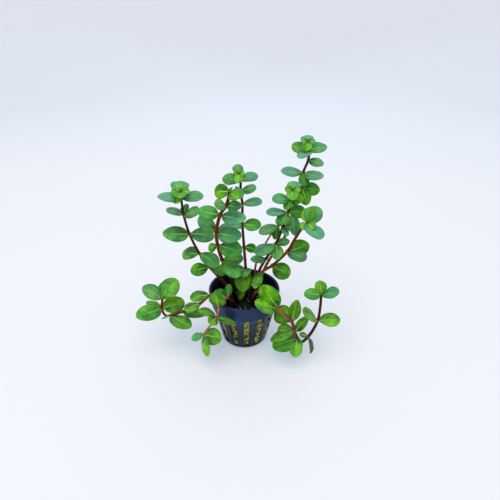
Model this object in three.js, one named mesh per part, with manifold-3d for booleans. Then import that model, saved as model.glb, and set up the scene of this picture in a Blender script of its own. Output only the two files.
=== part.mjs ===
// Potted orange juice rotala: a clump of ten leafy shoots rooted in a plug of rock wool, which sits
// in a slotted net pot. Millimetres, +Z up, origin at the middle of the pot's flat base.
import * as THREE from 'three';
import * as BufferGeometryUtils from 'three/addons/utils/BufferGeometryUtils.js';
import Module from 'manifold-3d';

// Pot
const POT_HEIGHT = 42;
const RIM_RADIUS = 25;
const BASE_RADIUS = 16.4;
const BASE_CHAMFER = 0.8;
const POT_WALL = 1.1;
const FLOOR_THICKNESS = 1.4;
const POT_SIDES = 28;
const LIP_HEIGHT = 1.4;
const LIP_OVERHANG = 0.8;
const BAND_HEIGHT = 12;
const BAND_STEP = 0.4;
const WALL_FOOT_RADIUS = 16.8;
const WALL_TOP_RADIUS = 22.9;

// Slots in the wall and drains in the floor
const SLOT_COUNT = 14;
const SLOT_SHARE = 0.52;
const SLOT_TURN = -85;
const SLOT_FOOT = 2.6;
const SLOT_INNER_RADIUS = 10;
const SLOT_OUTER_RADIUS = 30;
const DRAIN_COUNT = 4;
const DRAIN_WIDTH = 2.4;
const DRAIN_START = 7;
const DRAIN_END = 13;

// Rock wool plug, with a pad pressed into each slot
const WOOL_TOP = 31.5;
const WOOL_SHOULDER = 1.5;
const WOOL_SIDES = 14;
const PAD_SHARE = 0.44;
const PAD_SETBACK = 0.6;
const BULGE = 0.9;
const BULGING_PADS = [1, 2, 3];

// Stems and leaves
const FIT_GAP = 0.3;
const STEM_SIDES = 5;
const CROWN_FOOT = 2.4;
const RING_SIDES = 5;
const RING_HEIGHT = 1.8;
const RING_WALL = 0.8;
const LEAF_KEEL = 0.7;
const LEAF_FOLD = 0.05;
const LEAF_ARCH = 0.02;
const LEAF_NECK = 0.16;
const LEAF_STATIONS = [0, 0.22, 0.55, 0.85];
const USUAL_BREADTH = 0.68;
const YOUNG_BREADTH = 0.85;

const radians = THREE.MathUtils.degToRad;
const wasm = await Module();
wasm.setup();

// Finishes
const finish = (color, roughness) => new THREE.MeshStandardMaterial({ color, roughness, metalness: 0 });
const POT_PLASTIC = finish(0x161c2c, 0.4);
const ROCK_WOOL = finish(0x6e6a2e, 0.95);
const STEM_RED = finish(0x4a1a0c, 0.5);
const LEAF_GREEN = finish(0x3f8c1c, 0.35);
const YOUNG_GREEN = finish(0x5fae1e, 0.35);

// A leaf: which way its midrib heads (degrees anticlockwise from +X, seen from above), how far it
// lifts above level, its length, how far the blade rolls about the midrib, and width over length.
function leaf(heading, lift, length, roll = 0, breadth = USUAL_BREADTH) {
  return { heading, lift, length, roll, breadth };
}

// A young leaf at a growing tip is rounder.
function young(heading, lift, length, roll = 0, breadth = YOUNG_BREADTH) {
  return leaf(heading, lift, length, roll, breadth);
}

// Each shoot runs through its nodes from the root up, and its leaves stand at the nodes. From the
// node marked crown, the stem's end, its crowded pairs and its young leaves grew as one piece.
const SHOOTS = [
  {
    name: 'far_left',
    radius: 1,
    nodes: [
      { at: [-6, 1, 24] },
      { at: [-8, 0, 38] },
      { at: [-13, -1, 46] },
      { at: [-24, 0, 60], leaves: [leaf(-159, -5, 13, -47, 0.71), leaf(-10, -20, 13, 20)] },
      { at: [-30, 2, 69], leaves: [leaf(148, -14, 16, -28, 0.72), leaf(-30, -18, 16, 20)] },
      { at: [-36, 4, 83], leaves: [leaf(-163, 9, 17.5, -35), leaf(-10, -3, 17, 35)] },
      {
        at: [-39, 6, 96],
        leaves: [
          leaf(157, 11, 13, -5), leaf(-24, 22, 13.5, 31, 0.72), leaf(84, 29, 9, -10),
        ],
      },
      {
        at: [-40, 8, 107],
        crown: true,
        leaves: [
          leaf(-150, 13, 15.5, -20), leaf(0, 4, 14.5, 25),
        ],
      },
      {
        at: [-40, 8, 111],
        leaves: [
          young(-114, -34, 9, -10, 0.82), young(91, 19, 11, 2, 0.91), young(129, 29, 9.5, -3),
          young(-86, -6, 8.5, 0, 1.05), young(0, 8, 6, 35, 1), young(180, 10, 6, -35, 1),
        ],
      },
    ],
  },
  {
    name: 'mid_left',
    radius: 1.2,
    nodes: [
      { at: [-3, -3, 24] },
      { at: [-6.8, -4, 40] },
      { at: [-8.8, -4, 52] },
      { at: [-14, -9, 71], leaves: [leaf(-42, -22, 16.5, 11), leaf(-19, 13, 15, 33, 0.71)] },
      {
        at: [-16, -13, 84],
        leaves: [
          leaf(-21, -6, 16.5, 39, 0.74), leaf(161, -34, 8, -63, 0.75),
        ],
      },
      {
        at: [-16, -17, 95],
        leaves: [
          leaf(-24, 2, 16.5, 35), leaf(30, 7, 14.5, 8), leaf(149, 32, 14.5, -17),
        ],
      },
      { at: [-13, -20, 108], leaves: [leaf(-22, 0, 16, 26), leaf(-179, 11, 13, -42, 0.72)] },
      {
        at: [-9, -22, 115],
        crown: true,
        leaves: [
          young(-142, 17, 8.5, -47), young(-24, 1, 9, 37),
        ],
      },
      {
        at: [-7, -23, 123],
        leaves: [
          young(-57, -9, 8.5, 32), young(153, -8, 10, -60), young(2, -12, 8, 39),
        ],
      },
    ],
  },
  {
    name: 'centre',
    radius: 1,
    nodes: [
      { at: [2, 4, 24] },
      { at: [1, 5.5, 42] },
      {
        at: [1, 7, 54],
        leaves: [
          leaf(-90, 6, 13, 25), leaf(-101, -40, 17.3, -8, 0.72), leaf(-147, 4, 14, -40, 0.75),
        ],
      },
      { at: [0, 9, 70], leaves: [leaf(7, -16, 9, 61, 0.74), leaf(-170, 5, 9)] },
      { at: [-1, 11, 87], leaves: [leaf(-21, 6, 13.5, 44), leaf(-135, 5, 9, -30)] },
      { at: [-1, 13, 101], leaves: [leaf(-11, 9, 13.5, 20), leaf(-124, -4, 9, -10)] },
      { at: [-2, 14, 110], leaves: [leaf(-24, 16, 11.5, 35), leaf(139, 14, 5, 0, 0.5)] },
      { at: [-2, 15, 116], crown: true, leaves: [leaf(157, 0, 13, -40), leaf(26, 10, 12.5, 25)] },
      {
        at: [-3, 16, 120],
        leaves: [
          young(99, 30, 8.5), young(-95, -31, 7.5, 4),
          young(0, 25, 3.8, 35, 1.2), young(180, 25, 3.8, -35, 1.2),
        ],
      },
    ],
  },
  {
    name: 'right_back',
    radius: 1,
    nodes: [
      { at: [7, 3, 24] },
      { at: [11, 6, 44] },
      { at: [17, 8, 59] },
      { at: [29, 13, 78] },
      { at: [33, 16, 92], leaves: [leaf(-83, -41, 16, -25), leaf(100, 15, 12)] },
      { at: [38, 20, 109], leaves: [leaf(13, -11, 14, 55), leaf(-56, -54, 12, 30, 0.72)] },
      {
        at: [39, 22, 119],
        leaves: [
          leaf(-173, 6, 15, -22), leaf(-40, 0, 15, 20), leaf(-88, -44, 10, 0, 0.72),
        ],
      },
      { at: [42, 24, 127], leaves: [leaf(-36, -9, 11, 30)] },
      {
        at: [42, 24.5, 133],
        crown: true,
        leaves: [
          leaf(154, 10, 12, -44), leaf(21, 8, 13, 35), young(-123, -14, 11.5, 10, 0.91),
        ],
      },
      {
        at: [41, 25, 138],
        leaves: [
          young(87, 14, 9.5, -8, 0.88), young(-105, -32, 7.5, -1, 1.05),
          young(0, 12, 4.8, 35, 1.1), young(180, 12, 4.8, -35, 1.1),
        ],
      },
    ],
  },
  {
    name: 'right_mid',
    radius: 1,
    nodes: [
      { at: [5, -1, 24] },
      { at: [7, 0, 42] },
      { at: [11, 0, 58] },
      { at: [15, -1, 67], leaves: [leaf(-146, 12, 12.5, -13)] },
      {
        at: [21, -2, 79],
        leaves: [
          leaf(23, 3, 10, 25), leaf(-90, -26, 12.5), leaf(-149, -9, 16.5, -2, 0.75),
        ],
      },
      { at: [25, -2, 91], leaves: [leaf(-34, 20, 9, 35), leaf(-74, -19, 8, -20)] },
      {
        at: [28, -1, 101],
        leaves: [
          leaf(-173, 2, 14, -9), leaf(21, -8, 13, 55), leaf(-132, -29, 10, -30, 0.88),
        ],
      },
      {
        at: [29, 0, 109],
        crown: true,
        leaves: [
          leaf(-167, 7, 12, -35), young(-112, -32, 8, 20), young(-35, 12, 9.5, 45),
        ],
      },
      {
        at: [30, 0, 115],
        leaves: [
          young(73, 13, 10.5, -3, 0.89), young(-91, -18, 9, 9, 0.89),
          young(0, 15, 5, 35, 1.1), young(180, 15, 5, -35, 1.1),
        ],
      },
    ],
  },
  {
    name: 'right_front',
    radius: 1.1,
    nodes: [
      { at: [6, -5, 24] },
      { at: [8, -5, 42] },
      { at: [12, -4, 57.5], leaves: [leaf(-149, -37, 9, -5), leaf(-118, -28, 12.5, 0, 0.55)] },
      { at: [19, -5, 64], leaves: [leaf(-48, -4, 15.5, 45, 0.73)] },
      { at: [28, -10, 78], leaves: [leaf(7, 15, 14.5, 48, 0.77), leaf(-47, 0, 15, 12)] },
      { at: [32, -13, 89] },
      { at: [35, -14.5, 96], crown: true },
      {
        at: [38, -16, 101],
        leaves: [
          young(75, 36, 11, -15), leaf(50, 24, 14, 24, 0.79), leaf(-65, -14, 15.5, -4, 0.74),
          young(-114, -7, 8, -15), young(-68, -2, 8, 35),
        ],
      },
    ],
  },
  {
    name: 'left_trailing',
    radius: 1,
    nodes: [
      { at: [-8, -4, 24] },
      { at: [-12, -6, 36] },
      { at: [-17, -8.5, 44] },
      { at: [-23.5, -11.6, 43.6], leaves: [leaf(-180, -6, 13.5, -18)] },
      { at: [-30, -14, 39], leaves: [leaf(-137, 5, 12.5, -12)] },
      { at: [-42, -15, 33], leaves: [leaf(-5, -6, 16, 1)] },
      {
        at: [-50, -15.9, 30.6],
        leaves: [
          leaf(-37, -7, 18, -7, 0.73), leaf(-144, 2, 7, 15, 0.4),
        ],
      },
      { at: [-54, -16, 30.4] },
      {
        at: [-56, -15, 36],
        crown: true,
        leaves: [
          leaf(-137, 8, 19, -23), leaf(36, -6, 17, 36, 0.72), leaf(168, 18, 11.5, 8, 0.65),
        ],
      },
      {
        at: [-55, -14, 43],
        leaves: [
          leaf(169, 33, 15.5, -20, 0.71), leaf(52, 33, 16.5, 30, 0.8), leaf(94, 37, 12, -15),
        ],
      },
    ],
  },
  {
    name: 'front_left',
    radius: 0.9,
    nodes: [
      { at: [-4, -7, 24] },
      { at: [-7, -11, 36] },
      { at: [-9.8, -13.2, 42] },
      {
        at: [-11, -14.6, 44.6],
        leaves: [
          leaf(178, 20, 10, -30, 0.95), leaf(78, 56, 9.2, 0, 0.55),
        ],
      },
      { at: [-12.4, -17, 45.8] },
      { at: [-14.2, -19.8, 45.4] },
      { at: [-16.1, -23, 43], leaves: [leaf(140, 80, 10.8, -50, 1.1)] },
      { at: [-16.9, -24.1, 40] },
      {
        at: [-18, -24, 35.5],
        leaves: [
          leaf(165, 17, 13, 5), leaf(-115, 14, 10, -36, 0.76), leaf(-9, -16, 12.5, -10),
        ],
      },
      { at: [-23, -26, 29] },
      { at: [-25.5, -27.3, 26], crown: true },
      {
        at: [-27, -28, 24],
        leaves: [
          leaf(-161, -13, 8.5, -18, 0.72), leaf(-72, -44, 14.5, 63), leaf(-21, 3, 13.5, 48, 0.85),
        ],
      },
    ],
  },
  {
    name: 'right_trailing',
    radius: 1.1,
    nodes: [
      { at: [3, -7, 24] },
      { at: [6, -8, 38] },
      { at: [9, -10, 46] },
      { at: [17.5, -16.5, 45] },
      {
        at: [22, -21, 41.3],
        leaves: [
          leaf(-164, 24, 17, -15, 0.77), leaf(166, 57, 19.5, -88, 0.73),
        ],
      },
      { at: [32, -23, 31], leaves: [leaf(124, -1, 17, -40, 0.81), leaf(64, 52, 15, -25)] },
      {
        at: [34, -26, 25],
        leaves: [
          leaf(30, 39, 13.5, -10), leaf(160, -8, 12, -36, 0.83), leaf(-163, -13, 17.5, 13),
        ],
      },
      {
        at: [36.2, -27.4, 20.2],
        leaves: [
          leaf(-165, -13, 18, -31, 0.71), leaf(-103, -30, 13), leaf(-62, -38, 6.5),
        ],
      },
      { at: [37.6, -28.2, 17.4] },
      { at: [40, -28.4, 18.4] },
      { at: [43, -28, 22], leaves: [leaf(162, 9, 6, -25), leaf(-84, -43, 11, -55, 0.35)] },
      { at: [46, -27, 27] },
      { at: [49, -25, 34], leaves: [leaf(3, 0, 15, 19, 0.72), leaf(-173, 40, 14.5, -10, 0.8)] },
      { at: [50, -23, 44] },
      { at: [50, -22.3, 49.5], crown: true },
      {
        at: [50, -22, 52.5],
        leaves: [
          leaf(-176, 6, 11.5, -42), leaf(-25, 28, 12.5, 22, 0.74), young(94, 41, 9.5, -1),
        ],
      },
    ],
  },
  {
    name: 'back_right',
    radius: 0.8,
    nodes: [
      { at: [6, 7, 24] },
      { at: [7, 8, 45] },
      { at: [9, 8, 60] },
      { at: [14, 8, 72] },
      { at: [18, 8, 80] },
      { at: [21, 7.5, 84.5], crown: true },
      {
        at: [23, 7, 87],
        leaves: [
          leaf(-160, -11, 14, -15), leaf(-124, -58, 9, 5), young(60, 30, 9),
        ],
      },
    ],
  },
];

// Closed geometry to a solid that can be joined and cut.
function toSolid(geometry) {
  const bare = geometry.clone();
  bare.deleteAttribute('normal');
  bare.deleteAttribute('uv');
  const merged = BufferGeometryUtils.mergeVertices(bare);
  const vertProperties = new Float32Array(merged.attributes.position.array);
  const triVerts = new Uint32Array(merged.index.array);
  return new wasm.Manifold(new wasm.Mesh({ numProp: 3, vertProperties, triVerts }));
}

function toGeometry(solid) {
  const mesh = solid.getMesh();
  const geometry = new THREE.BufferGeometry();
  geometry.setAttribute('position', new THREE.BufferAttribute(mesh.vertProperties, 3));
  geometry.setIndex(new THREE.BufferAttribute(mesh.triVerts, 1));
  geometry.computeVertexNormals();
  return geometry;
}

function join(solids) {
  return solids.reduce((whole, next) => whole.add(next));
}

function cut(solid, cutters) {
  return cutters.reduce((whole, next) => whole.subtract(next), solid);
}

function namedMesh(name, solid, material) {
  const mesh = new THREE.Mesh(toGeometry(solid), material);
  mesh.name = name;
  return mesh;
}

// A turned solid from a profile of [radius, height] points, with a corner over a slot's middle.
function turned(profile, sides) {
  const points = profile.map(([radius, height]) => new THREE.Vector2(radius, height));
  const body = new THREE.LatheGeometry(points, sides);
  body.rotateX(Math.PI / 2);
  body.rotateZ(Math.PI / 2 + radians(SLOT_TURN));
  return toSolid(body);
}

// The pot's outer wall is a cone: its radius at a height.
const BAND_FOOT = POT_HEIGHT - BAND_HEIGHT;

function wallRadius(height) {
  return THREE.MathUtils.mapLinear(height, SLOT_FOOT, BAND_FOOT, WALL_FOOT_RADIUS, WALL_TOP_RADIUS);
}

// A block with two radial sides, standing in the middle of slot number index.
function wedge(index, share, bottom, top) {
  const pitch = 360 / SLOT_COUNT;
  const middle = radians(SLOT_TURN + index * pitch);
  const half = radians((pitch * share) / 2);
  const corner = (radius, angle) => new THREE.Vector2(radius * Math.cos(angle), radius * Math.sin(angle));
  const shape = new THREE.Shape([
    corner(SLOT_INNER_RADIUS, middle - half),
    corner(SLOT_OUTER_RADIUS, middle - half),
    corner(SLOT_OUTER_RADIUS, middle + half),
    corner(SLOT_INNER_RADIUS, middle + half),
  ]);
  const block = new THREE.ExtrudeGeometry(shape, { depth: top - bottom, bevelEnabled: false });
  block.translate(0, 0, bottom);
  return toSolid(block);
}

function slotIndices() {
  return Array.from({ length: SLOT_COUNT }, (_, index) => index);
}

function makePot() {
  const bandRadius = wallRadius(BAND_FOOT) + BAND_STEP;
  const lipFoot = POT_HEIGHT - LIP_HEIGHT;
  const body = turned([
    [0, 0],
    [BASE_RADIUS - BASE_CHAMFER, 0],
    [BASE_RADIUS, BASE_CHAMFER],
    [WALL_FOOT_RADIUS, SLOT_FOOT],
    [WALL_TOP_RADIUS, BAND_FOOT],
    [bandRadius, BAND_FOOT + BAND_STEP],
    [RIM_RADIUS - LIP_OVERHANG, lipFoot],
    [RIM_RADIUS, lipFoot + BAND_STEP],
    [RIM_RADIUS, POT_HEIGHT],
    [RIM_RADIUS - LIP_OVERHANG - POT_WALL, POT_HEIGHT],
    [WALL_TOP_RADIUS - POT_WALL, BAND_FOOT],
    [wallRadius(FLOOR_THICKNESS) - POT_WALL, FLOOR_THICKNESS],
    [0, FLOOR_THICKNESS],
  ], POT_SIDES);
  const slots = slotIndices().map((index) => wedge(index, SLOT_SHARE, SLOT_FOOT, BAND_FOOT));
  const drains = Array.from({ length: DRAIN_COUNT }, (_, index) => {
    const drain = new THREE.BoxGeometry(DRAIN_END - DRAIN_START, DRAIN_WIDTH, 4 * FLOOR_THICKNESS);
    drain.translate((DRAIN_START + DRAIN_END) / 2, 0, 0);
    drain.rotateZ(radians((index * 360) / DRAIN_COUNT));
    return toSolid(drain);
  });
  return namedMesh('pot', cut(body, [...slots, ...drains]), POT_PLASTIC);
}

// The plug follows the inside of the wall, and each pad fills its slot to just under the surface.
function makeRockWool(sockets) {
  const foot = FLOOR_THICKNESS + FIT_GAP;
  const shoulder = WOOL_TOP - WOOL_SHOULDER;
  const inset = POT_WALL + FIT_GAP;
  const plug = turned([
    [0, foot],
    [wallRadius(foot) - inset, foot],
    [wallRadius(BAND_FOOT) - inset, BAND_FOOT],
    [wallRadius(shoulder) - inset - WOOL_SHOULDER, WOOL_TOP],
    [0, WOOL_TOP],
  ], WOOL_SIDES);
  const skin = (outward) => turned([
    [0, SLOT_FOOT],
    [wallRadius(SLOT_FOOT) + outward, SLOT_FOOT],
    [wallRadius(BAND_FOOT) + outward, BAND_FOOT],
    [0, BAND_FOOT],
  ], WOOL_SIDES);
  const pads = slotIndices().map((index) => {
    const outward = BULGING_PADS.includes(index) ? BULGE : -PAD_SETBACK;
    return wedge(index, PAD_SHARE, SLOT_FOOT + FIT_GAP, BAND_FOOT - FIT_GAP).intersect(skin(outward));
  });
  return namedMesh('rock_wool', cut(join([plug, ...pads]), sockets), ROCK_WOOL);
}

function vector(point) {
  return new THREE.Vector3(...point);
}

// A curve that steps from node to node instead of by length.
class NodePath extends THREE.CatmullRomCurve3 {
  getPointAt(t) {
    return this.getPoint(t);
  }

  getTangentAt(t) {
    return this.getTangent(t);
  }
}

// A tube with a corner at each of its points.
function tube(points, radius) {
  const path = new NodePath(points, false, 'catmullrom', 0.5);
  const section = new THREE.Shape(
    Array.from({ length: STEM_SIDES }, (_, side) => {
      const angle = (2 * Math.PI * side) / STEM_SIDES;
      return new THREE.Vector2(radius * Math.cos(angle), radius * Math.sin(angle));
    }),
  );
  const steps = points.length - 1;
  return toSolid(new THREE.ExtrudeGeometry(section, { steps, bevelEnabled: false, extrudePath: path }));
}

function crownStart(shoot) {
  return shoot.nodes.findIndex((node) => node.crown);
}

// A point on the stretch of stem below the crown node, at a distance from that node.
function belowCrown(shoot, distance) {
  const first = crownStart(shoot);
  const crown = vector(shoot.nodes[first].at);
  const previous = vector(shoot.nodes[first - 1].at);
  return crown.addScaledVector(previous.sub(crown).normalize(), distance);
}

// The stem's points, from the root to just short of the crown's foot.
function stemPoints(shoot) {
  const points = shoot.nodes.slice(0, crownStart(shoot)).map((node) => vector(node.at));
  return [...points, belowCrown(shoot, CROWN_FOOT + FIT_GAP)];
}

// The hole that the stem leaves in the rock wool.
function socket(shoot) {
  const [root, ...rest] = stemPoints(shoot);
  const foot = root.clone().addScaledVector(root.clone().sub(rest[0]).normalize(), FIT_GAP);
  return tube([foot, ...rest], shoot.radius + FIT_GAP);
}

function midribDirection({ heading, lift }) {
  const level = Math.cos(radians(lift));
  return new THREE.Vector3(
    level * Math.cos(radians(heading)),
    level * Math.sin(radians(heading)),
    Math.sin(radians(lift)),
  );
}

// Half the leaf's width at a share t of its length, over half its full width.
function outline(t) {
  return Math.max(LEAF_NECK, Math.sqrt(Math.sin(Math.PI * t ** 1.05)));
}

// A blade is a thin arched body with a flat top, a keel under its midrib, sharp edges and a point
// at the tip.
function blade(start, tip, spec) {
  const midrib = tip.clone().sub(start);
  const length = midrib.length();
  const along = midrib.clone().normalize();
  const level = new THREE.Vector3(0, 0, 1).addScaledVector(along, -along.z).normalize();
  const normal = level.clone().applyAxisAngle(along, radians(spec.roll));
  const across = along.clone().cross(normal);
  const halfWidth = (spec.breadth * spec.length) / 2;
  const positions = [];
  const place = (point, sideways, raised) => {
    positions.push(...point.clone().addScaledVector(across, sideways).addScaledVector(normal, raised));
  };
  for (const t of LEAF_STATIONS) {
    const arch = 4 * LEAF_ARCH * length * t * (1 - t);
    const middle = start.clone().addScaledVector(midrib, t).addScaledVector(normal, arch);
    const half = halfWidth * outline(t);
    place(middle, half, LEAF_FOLD * half);
    place(middle, -half, LEAF_FOLD * half);
    place(middle, 0, -LEAF_KEEL);
  }
  place(tip, 0, 0);
  const index = [0, 1, 2];
  const last = 3 * LEAF_STATIONS.length;
  for (let side = 0; side < 3; side += 1) {
    const next = (side + 1) % 3;
    for (let station = 0; station < LEAF_STATIONS.length - 1; station += 1) {
      const here = 3 * station;
      const ahead = here + 3;
      index.push(here + side, ahead + side, here + next);
      index.push(here + next, ahead + side, ahead + next);
    }
    index.push(last - 3 + side, last, last - 3 + next);
  }
  const geometry = new THREE.BufferGeometry();
  geometry.setAttribute('position', new THREE.Float32BufferAttribute(positions, 3));
  geometry.setIndex(index);
  return toSolid(geometry);
}

// The swollen ring of a node, from which its leaves grow, around the stem.
function nodeRing(centre, direction, boreRadius) {
  const profile = [
    [boreRadius, -RING_HEIGHT / 2],
    [boreRadius + RING_WALL, 0],
    [boreRadius, RING_HEIGHT / 2],
    [boreRadius, -RING_HEIGHT / 2],
  ].map(([radius, height]) => new THREE.Vector2(radius, height));
  const ring = new THREE.LatheGeometry(profile, RING_SIDES);
  ring.applyQuaternion(new THREE.Quaternion().setFromUnitVectors(new THREE.Vector3(0, 1, 0), direction));
  ring.translate(centre.x, centre.y, centre.z);
  return toSolid(ring);
}

// The stem's direction at one of its nodes.
function stemDirection(shoot, index) {
  const points = shoot.nodes.map((node) => vector(node.at));
  const ahead = points[Math.min(index + 1, points.length - 1)];
  return ahead.clone().sub(points[index - 1]).normalize();
}

// The leaves of one node, each starting at a distance from the stem's middle line.
function bladesAt(shoot, index, distance) {
  const stem = stemDirection(shoot, index);
  return (shoot.nodes[index].leaves ?? []).map((spec) => {
    const along = midribDirection(spec);
    const outward = along.clone().addScaledVector(stem, -along.dot(stem)).normalize();
    const middle = vector(shoot.nodes[index].at);
    const tip = middle.clone().addScaledVector(along, spec.length);
    return blade(middle.addScaledVector(outward, distance), tip, spec);
  });
}

// The leaves of one node with the ring that they share.
function makeLeafNode(shoot, index, name) {
  const boreRadius = (shoot.radius + FIT_GAP) / Math.cos(Math.PI / RING_SIDES);
  const ring = nodeRing(vector(shoot.nodes[index].at), stemDirection(shoot, index), boreRadius);
  return namedMesh(name, join([ring, ...bladesAt(shoot, index, boreRadius + FIT_GAP / 2)]), LEAF_GREEN);
}

// The end of a shoot: its last stretch of stem with the crowded pairs and young leaves on it.
function makeCrown(shoot, name) {
  const first = crownStart(shoot);
  const points = shoot.nodes.slice(first).map((node) => vector(node.at));
  const twig = tube([belowCrown(shoot, CROWN_FOOT), ...points], shoot.radius);
  const blades = shoot.nodes.slice(first).flatMap((node, offset) => (
    bladesAt(shoot, first + offset, shoot.radius / 2)
  ));
  return namedMesh(name, join([twig, ...blades]), YOUNG_GREEN);
}

function makeShoot(shoot) {
  const group = new THREE.Group();
  group.add(namedMesh(`stem_${shoot.name}`, tube(stemPoints(shoot), shoot.radius), STEM_RED));
  shoot.nodes.slice(0, crownStart(shoot)).forEach((node, index) => {
    if (node.leaves) {
      group.add(makeLeafNode(shoot, index, `leaves_${shoot.name}_${index}`));
    }
  });
  group.add(makeCrown(shoot, `crown_${shoot.name}`));
  return group;
}

const rotala = new THREE.Group();
rotala.add(makePot());
rotala.add(makeRockWool(SHOOTS.map(socket)));
for (const shoot of SHOOTS) {
  rotala.add(makeShoot(shoot));
}

export default rotala;
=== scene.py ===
"""The looks of a potted orange juice rotala.

Ten leafy shoots grow from a plug of rock wool in a slotted net pot. Each piece here takes the
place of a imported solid, in the same spot. Sizes are in millimetres and become metres in the
meshes, +Z up.
"""

import logging
import math
import random
from collections.abc import Iterable, Sequence
from dataclasses import dataclass
from enum import Enum

import bmesh
import bpy
from bmesh.types import BMesh, BMVert
from bpy.types import Material, Node, NodeSocket
from mathutils import Matrix, Quaternion, Vector, noise
from mathutils.geometry import interpolate_bezier


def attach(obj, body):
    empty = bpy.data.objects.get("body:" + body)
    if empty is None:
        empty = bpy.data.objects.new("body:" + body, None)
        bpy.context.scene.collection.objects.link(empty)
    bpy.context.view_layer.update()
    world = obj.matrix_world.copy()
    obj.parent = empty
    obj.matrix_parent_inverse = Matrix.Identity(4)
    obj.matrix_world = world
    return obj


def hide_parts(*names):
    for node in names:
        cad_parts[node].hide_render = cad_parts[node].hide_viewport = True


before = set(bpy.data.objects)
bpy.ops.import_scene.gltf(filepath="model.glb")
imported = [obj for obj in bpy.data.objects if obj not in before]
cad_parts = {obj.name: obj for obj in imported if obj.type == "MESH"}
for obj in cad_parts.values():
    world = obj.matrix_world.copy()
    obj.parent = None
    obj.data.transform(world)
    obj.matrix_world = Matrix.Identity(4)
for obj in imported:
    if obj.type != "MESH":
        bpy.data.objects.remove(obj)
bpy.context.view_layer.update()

LOG = logging.getLogger("rotala")
MM = 0.001
UP = Vector((0, 0, 1))
Point = tuple[float, float, float]
Colour = tuple[float, float, float]
Feed = NodeSocket | float | Colour
Inputs = dict[int | str, Feed]


def blend(low: float, high: float, share: float) -> float:
    """Returns the value a share of the way from low to high."""
    return low + (high - low) * share


def blend_colours(low: Colour, high: Colour, share: float) -> Colour:
    """Returns the colour a share of the way from low to high."""
    return tuple(blend(start, end, share) for start, end in zip(low, high))


def smooth_share(low: float, high: float, value: float) -> float:
    """Returns 0 below low, 1 above high and a smooth rise between them."""
    share = min(1.0, max(0.0, (value - low) / (high - low)))
    return share * share * (3 - 2 * share)


def around(radius: float, angle: float, height: float) -> Vector:
    """Returns the point at a radius from the upright axis, an angle in radians and a height."""
    return Vector((radius * math.cos(angle), radius * math.sin(angle), height))


def directions(points: Sequence[Vector]) -> list[Vector]:
    """Finds the way that a line runs.

    Args:
        points: The line's points.

    Returns:
        Its direction at each of them.
    """
    last = len(points) - 1
    ends = ((points[max(i - 1, 0)], points[min(i + 1, last)]) for i in range(last + 1))
    return [(ahead - before).normalized() for before, ahead in ends]


def spin_outline(
    mesh: BMesh, outline: Sequence[tuple[float, float]], steps: int, merge: float, turn: float = 0
) -> None:
    """Turns an outline about the upright axis into one surface.

    Args:
        mesh: The mesh that it joins.
        outline: Radius and height of the outline's points.
        steps: How many columns of faces go round.
        merge: How close points are made one, which closes the seam and the middle.
        turn: The heading of the first column, in degrees.
    """
    start = Matrix.Rotation(math.radians(turn), 3, "Z")
    verts = [mesh.verts.new(start @ Vector((radius, 0, height))) for radius, height in outline]
    edges = [mesh.edges.new(pair) for pair in zip(verts, verts[1:])]
    bmesh.ops.spin(mesh, geom=verts + edges, axis=UP, angle=math.tau, steps=steps, use_merge=True)
    bmesh.ops.remove_doubles(mesh, verts=mesh.verts, dist=merge)


class StemTone(Enum):
    """The colours that a stem has along its length."""

    DARK = (0.042, 0.008, 0.004)
    RED = (0.150, 0.016, 0.006)
    AMBER = (0.360, 0.110, 0.030)
    PINK = (0.520, 0.160, 0.110)


class LeafState(Enum):
    """What condition a leaf is in, as the number that its finish reads."""

    FRESH = 0.0
    WILTED = 1.0


@dataclass(frozen=True)
class Leaf:
    """A leaf as it stands at its node. Angles in degrees, length in millimetres.

    The midrib heads anticlockwise from +X and lifts above level. The blade rolls about it, and
    breadth is its width over its length.
    """

    heading: float
    lift: float
    length: float
    roll: float = 0.0
    breadth: float = 0.68
    state: LeafState = LeafState.FRESH

    def direction(self) -> Vector:
        """Returns the way that the midrib points."""
        lift = math.radians(self.lift)
        return around(math.cos(lift), math.radians(self.heading), math.sin(lift))


@dataclass(frozen=True)
class YoungLeaf(Leaf):
    """A leaf at a growing tip, which is rounder."""

    breadth: float = 0.85


@dataclass(frozen=True)
class StemNode:
    """A point that a shoot runs through, with the leaves that grow there."""

    at: Point
    leaves: tuple[Leaf, ...]


def at(x: float, y: float, z: float, *leaves: Leaf | tuple[float, ...]) -> StemNode:
    """Makes a node.

    Args:
        x, y, z: Its place.
        leaves: Its leaves. One that isn't young or wilted is given as its numbers alone.

    Returns:
        The node.
    """
    grown = (leaf if isinstance(leaf, Leaf) else Leaf(*leaf) for leaf in leaves)
    return StemNode((x, y, z), tuple(grown))


@dataclass(frozen=True)
class Shoot:
    """A stem from its root up. From the node numbered crown on, it is one with its leaves."""

    name: str
    radius: float
    foot_tone: StemTone
    head_tone: StemTone
    crown: int
    nodes: tuple[StemNode, ...]

    def tone_at(self, share: float) -> Colour:
        """Returns the stem's colour at a share of its length."""
        return blend_colours(self.foot_tone.value, self.head_tone.value, share)


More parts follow.
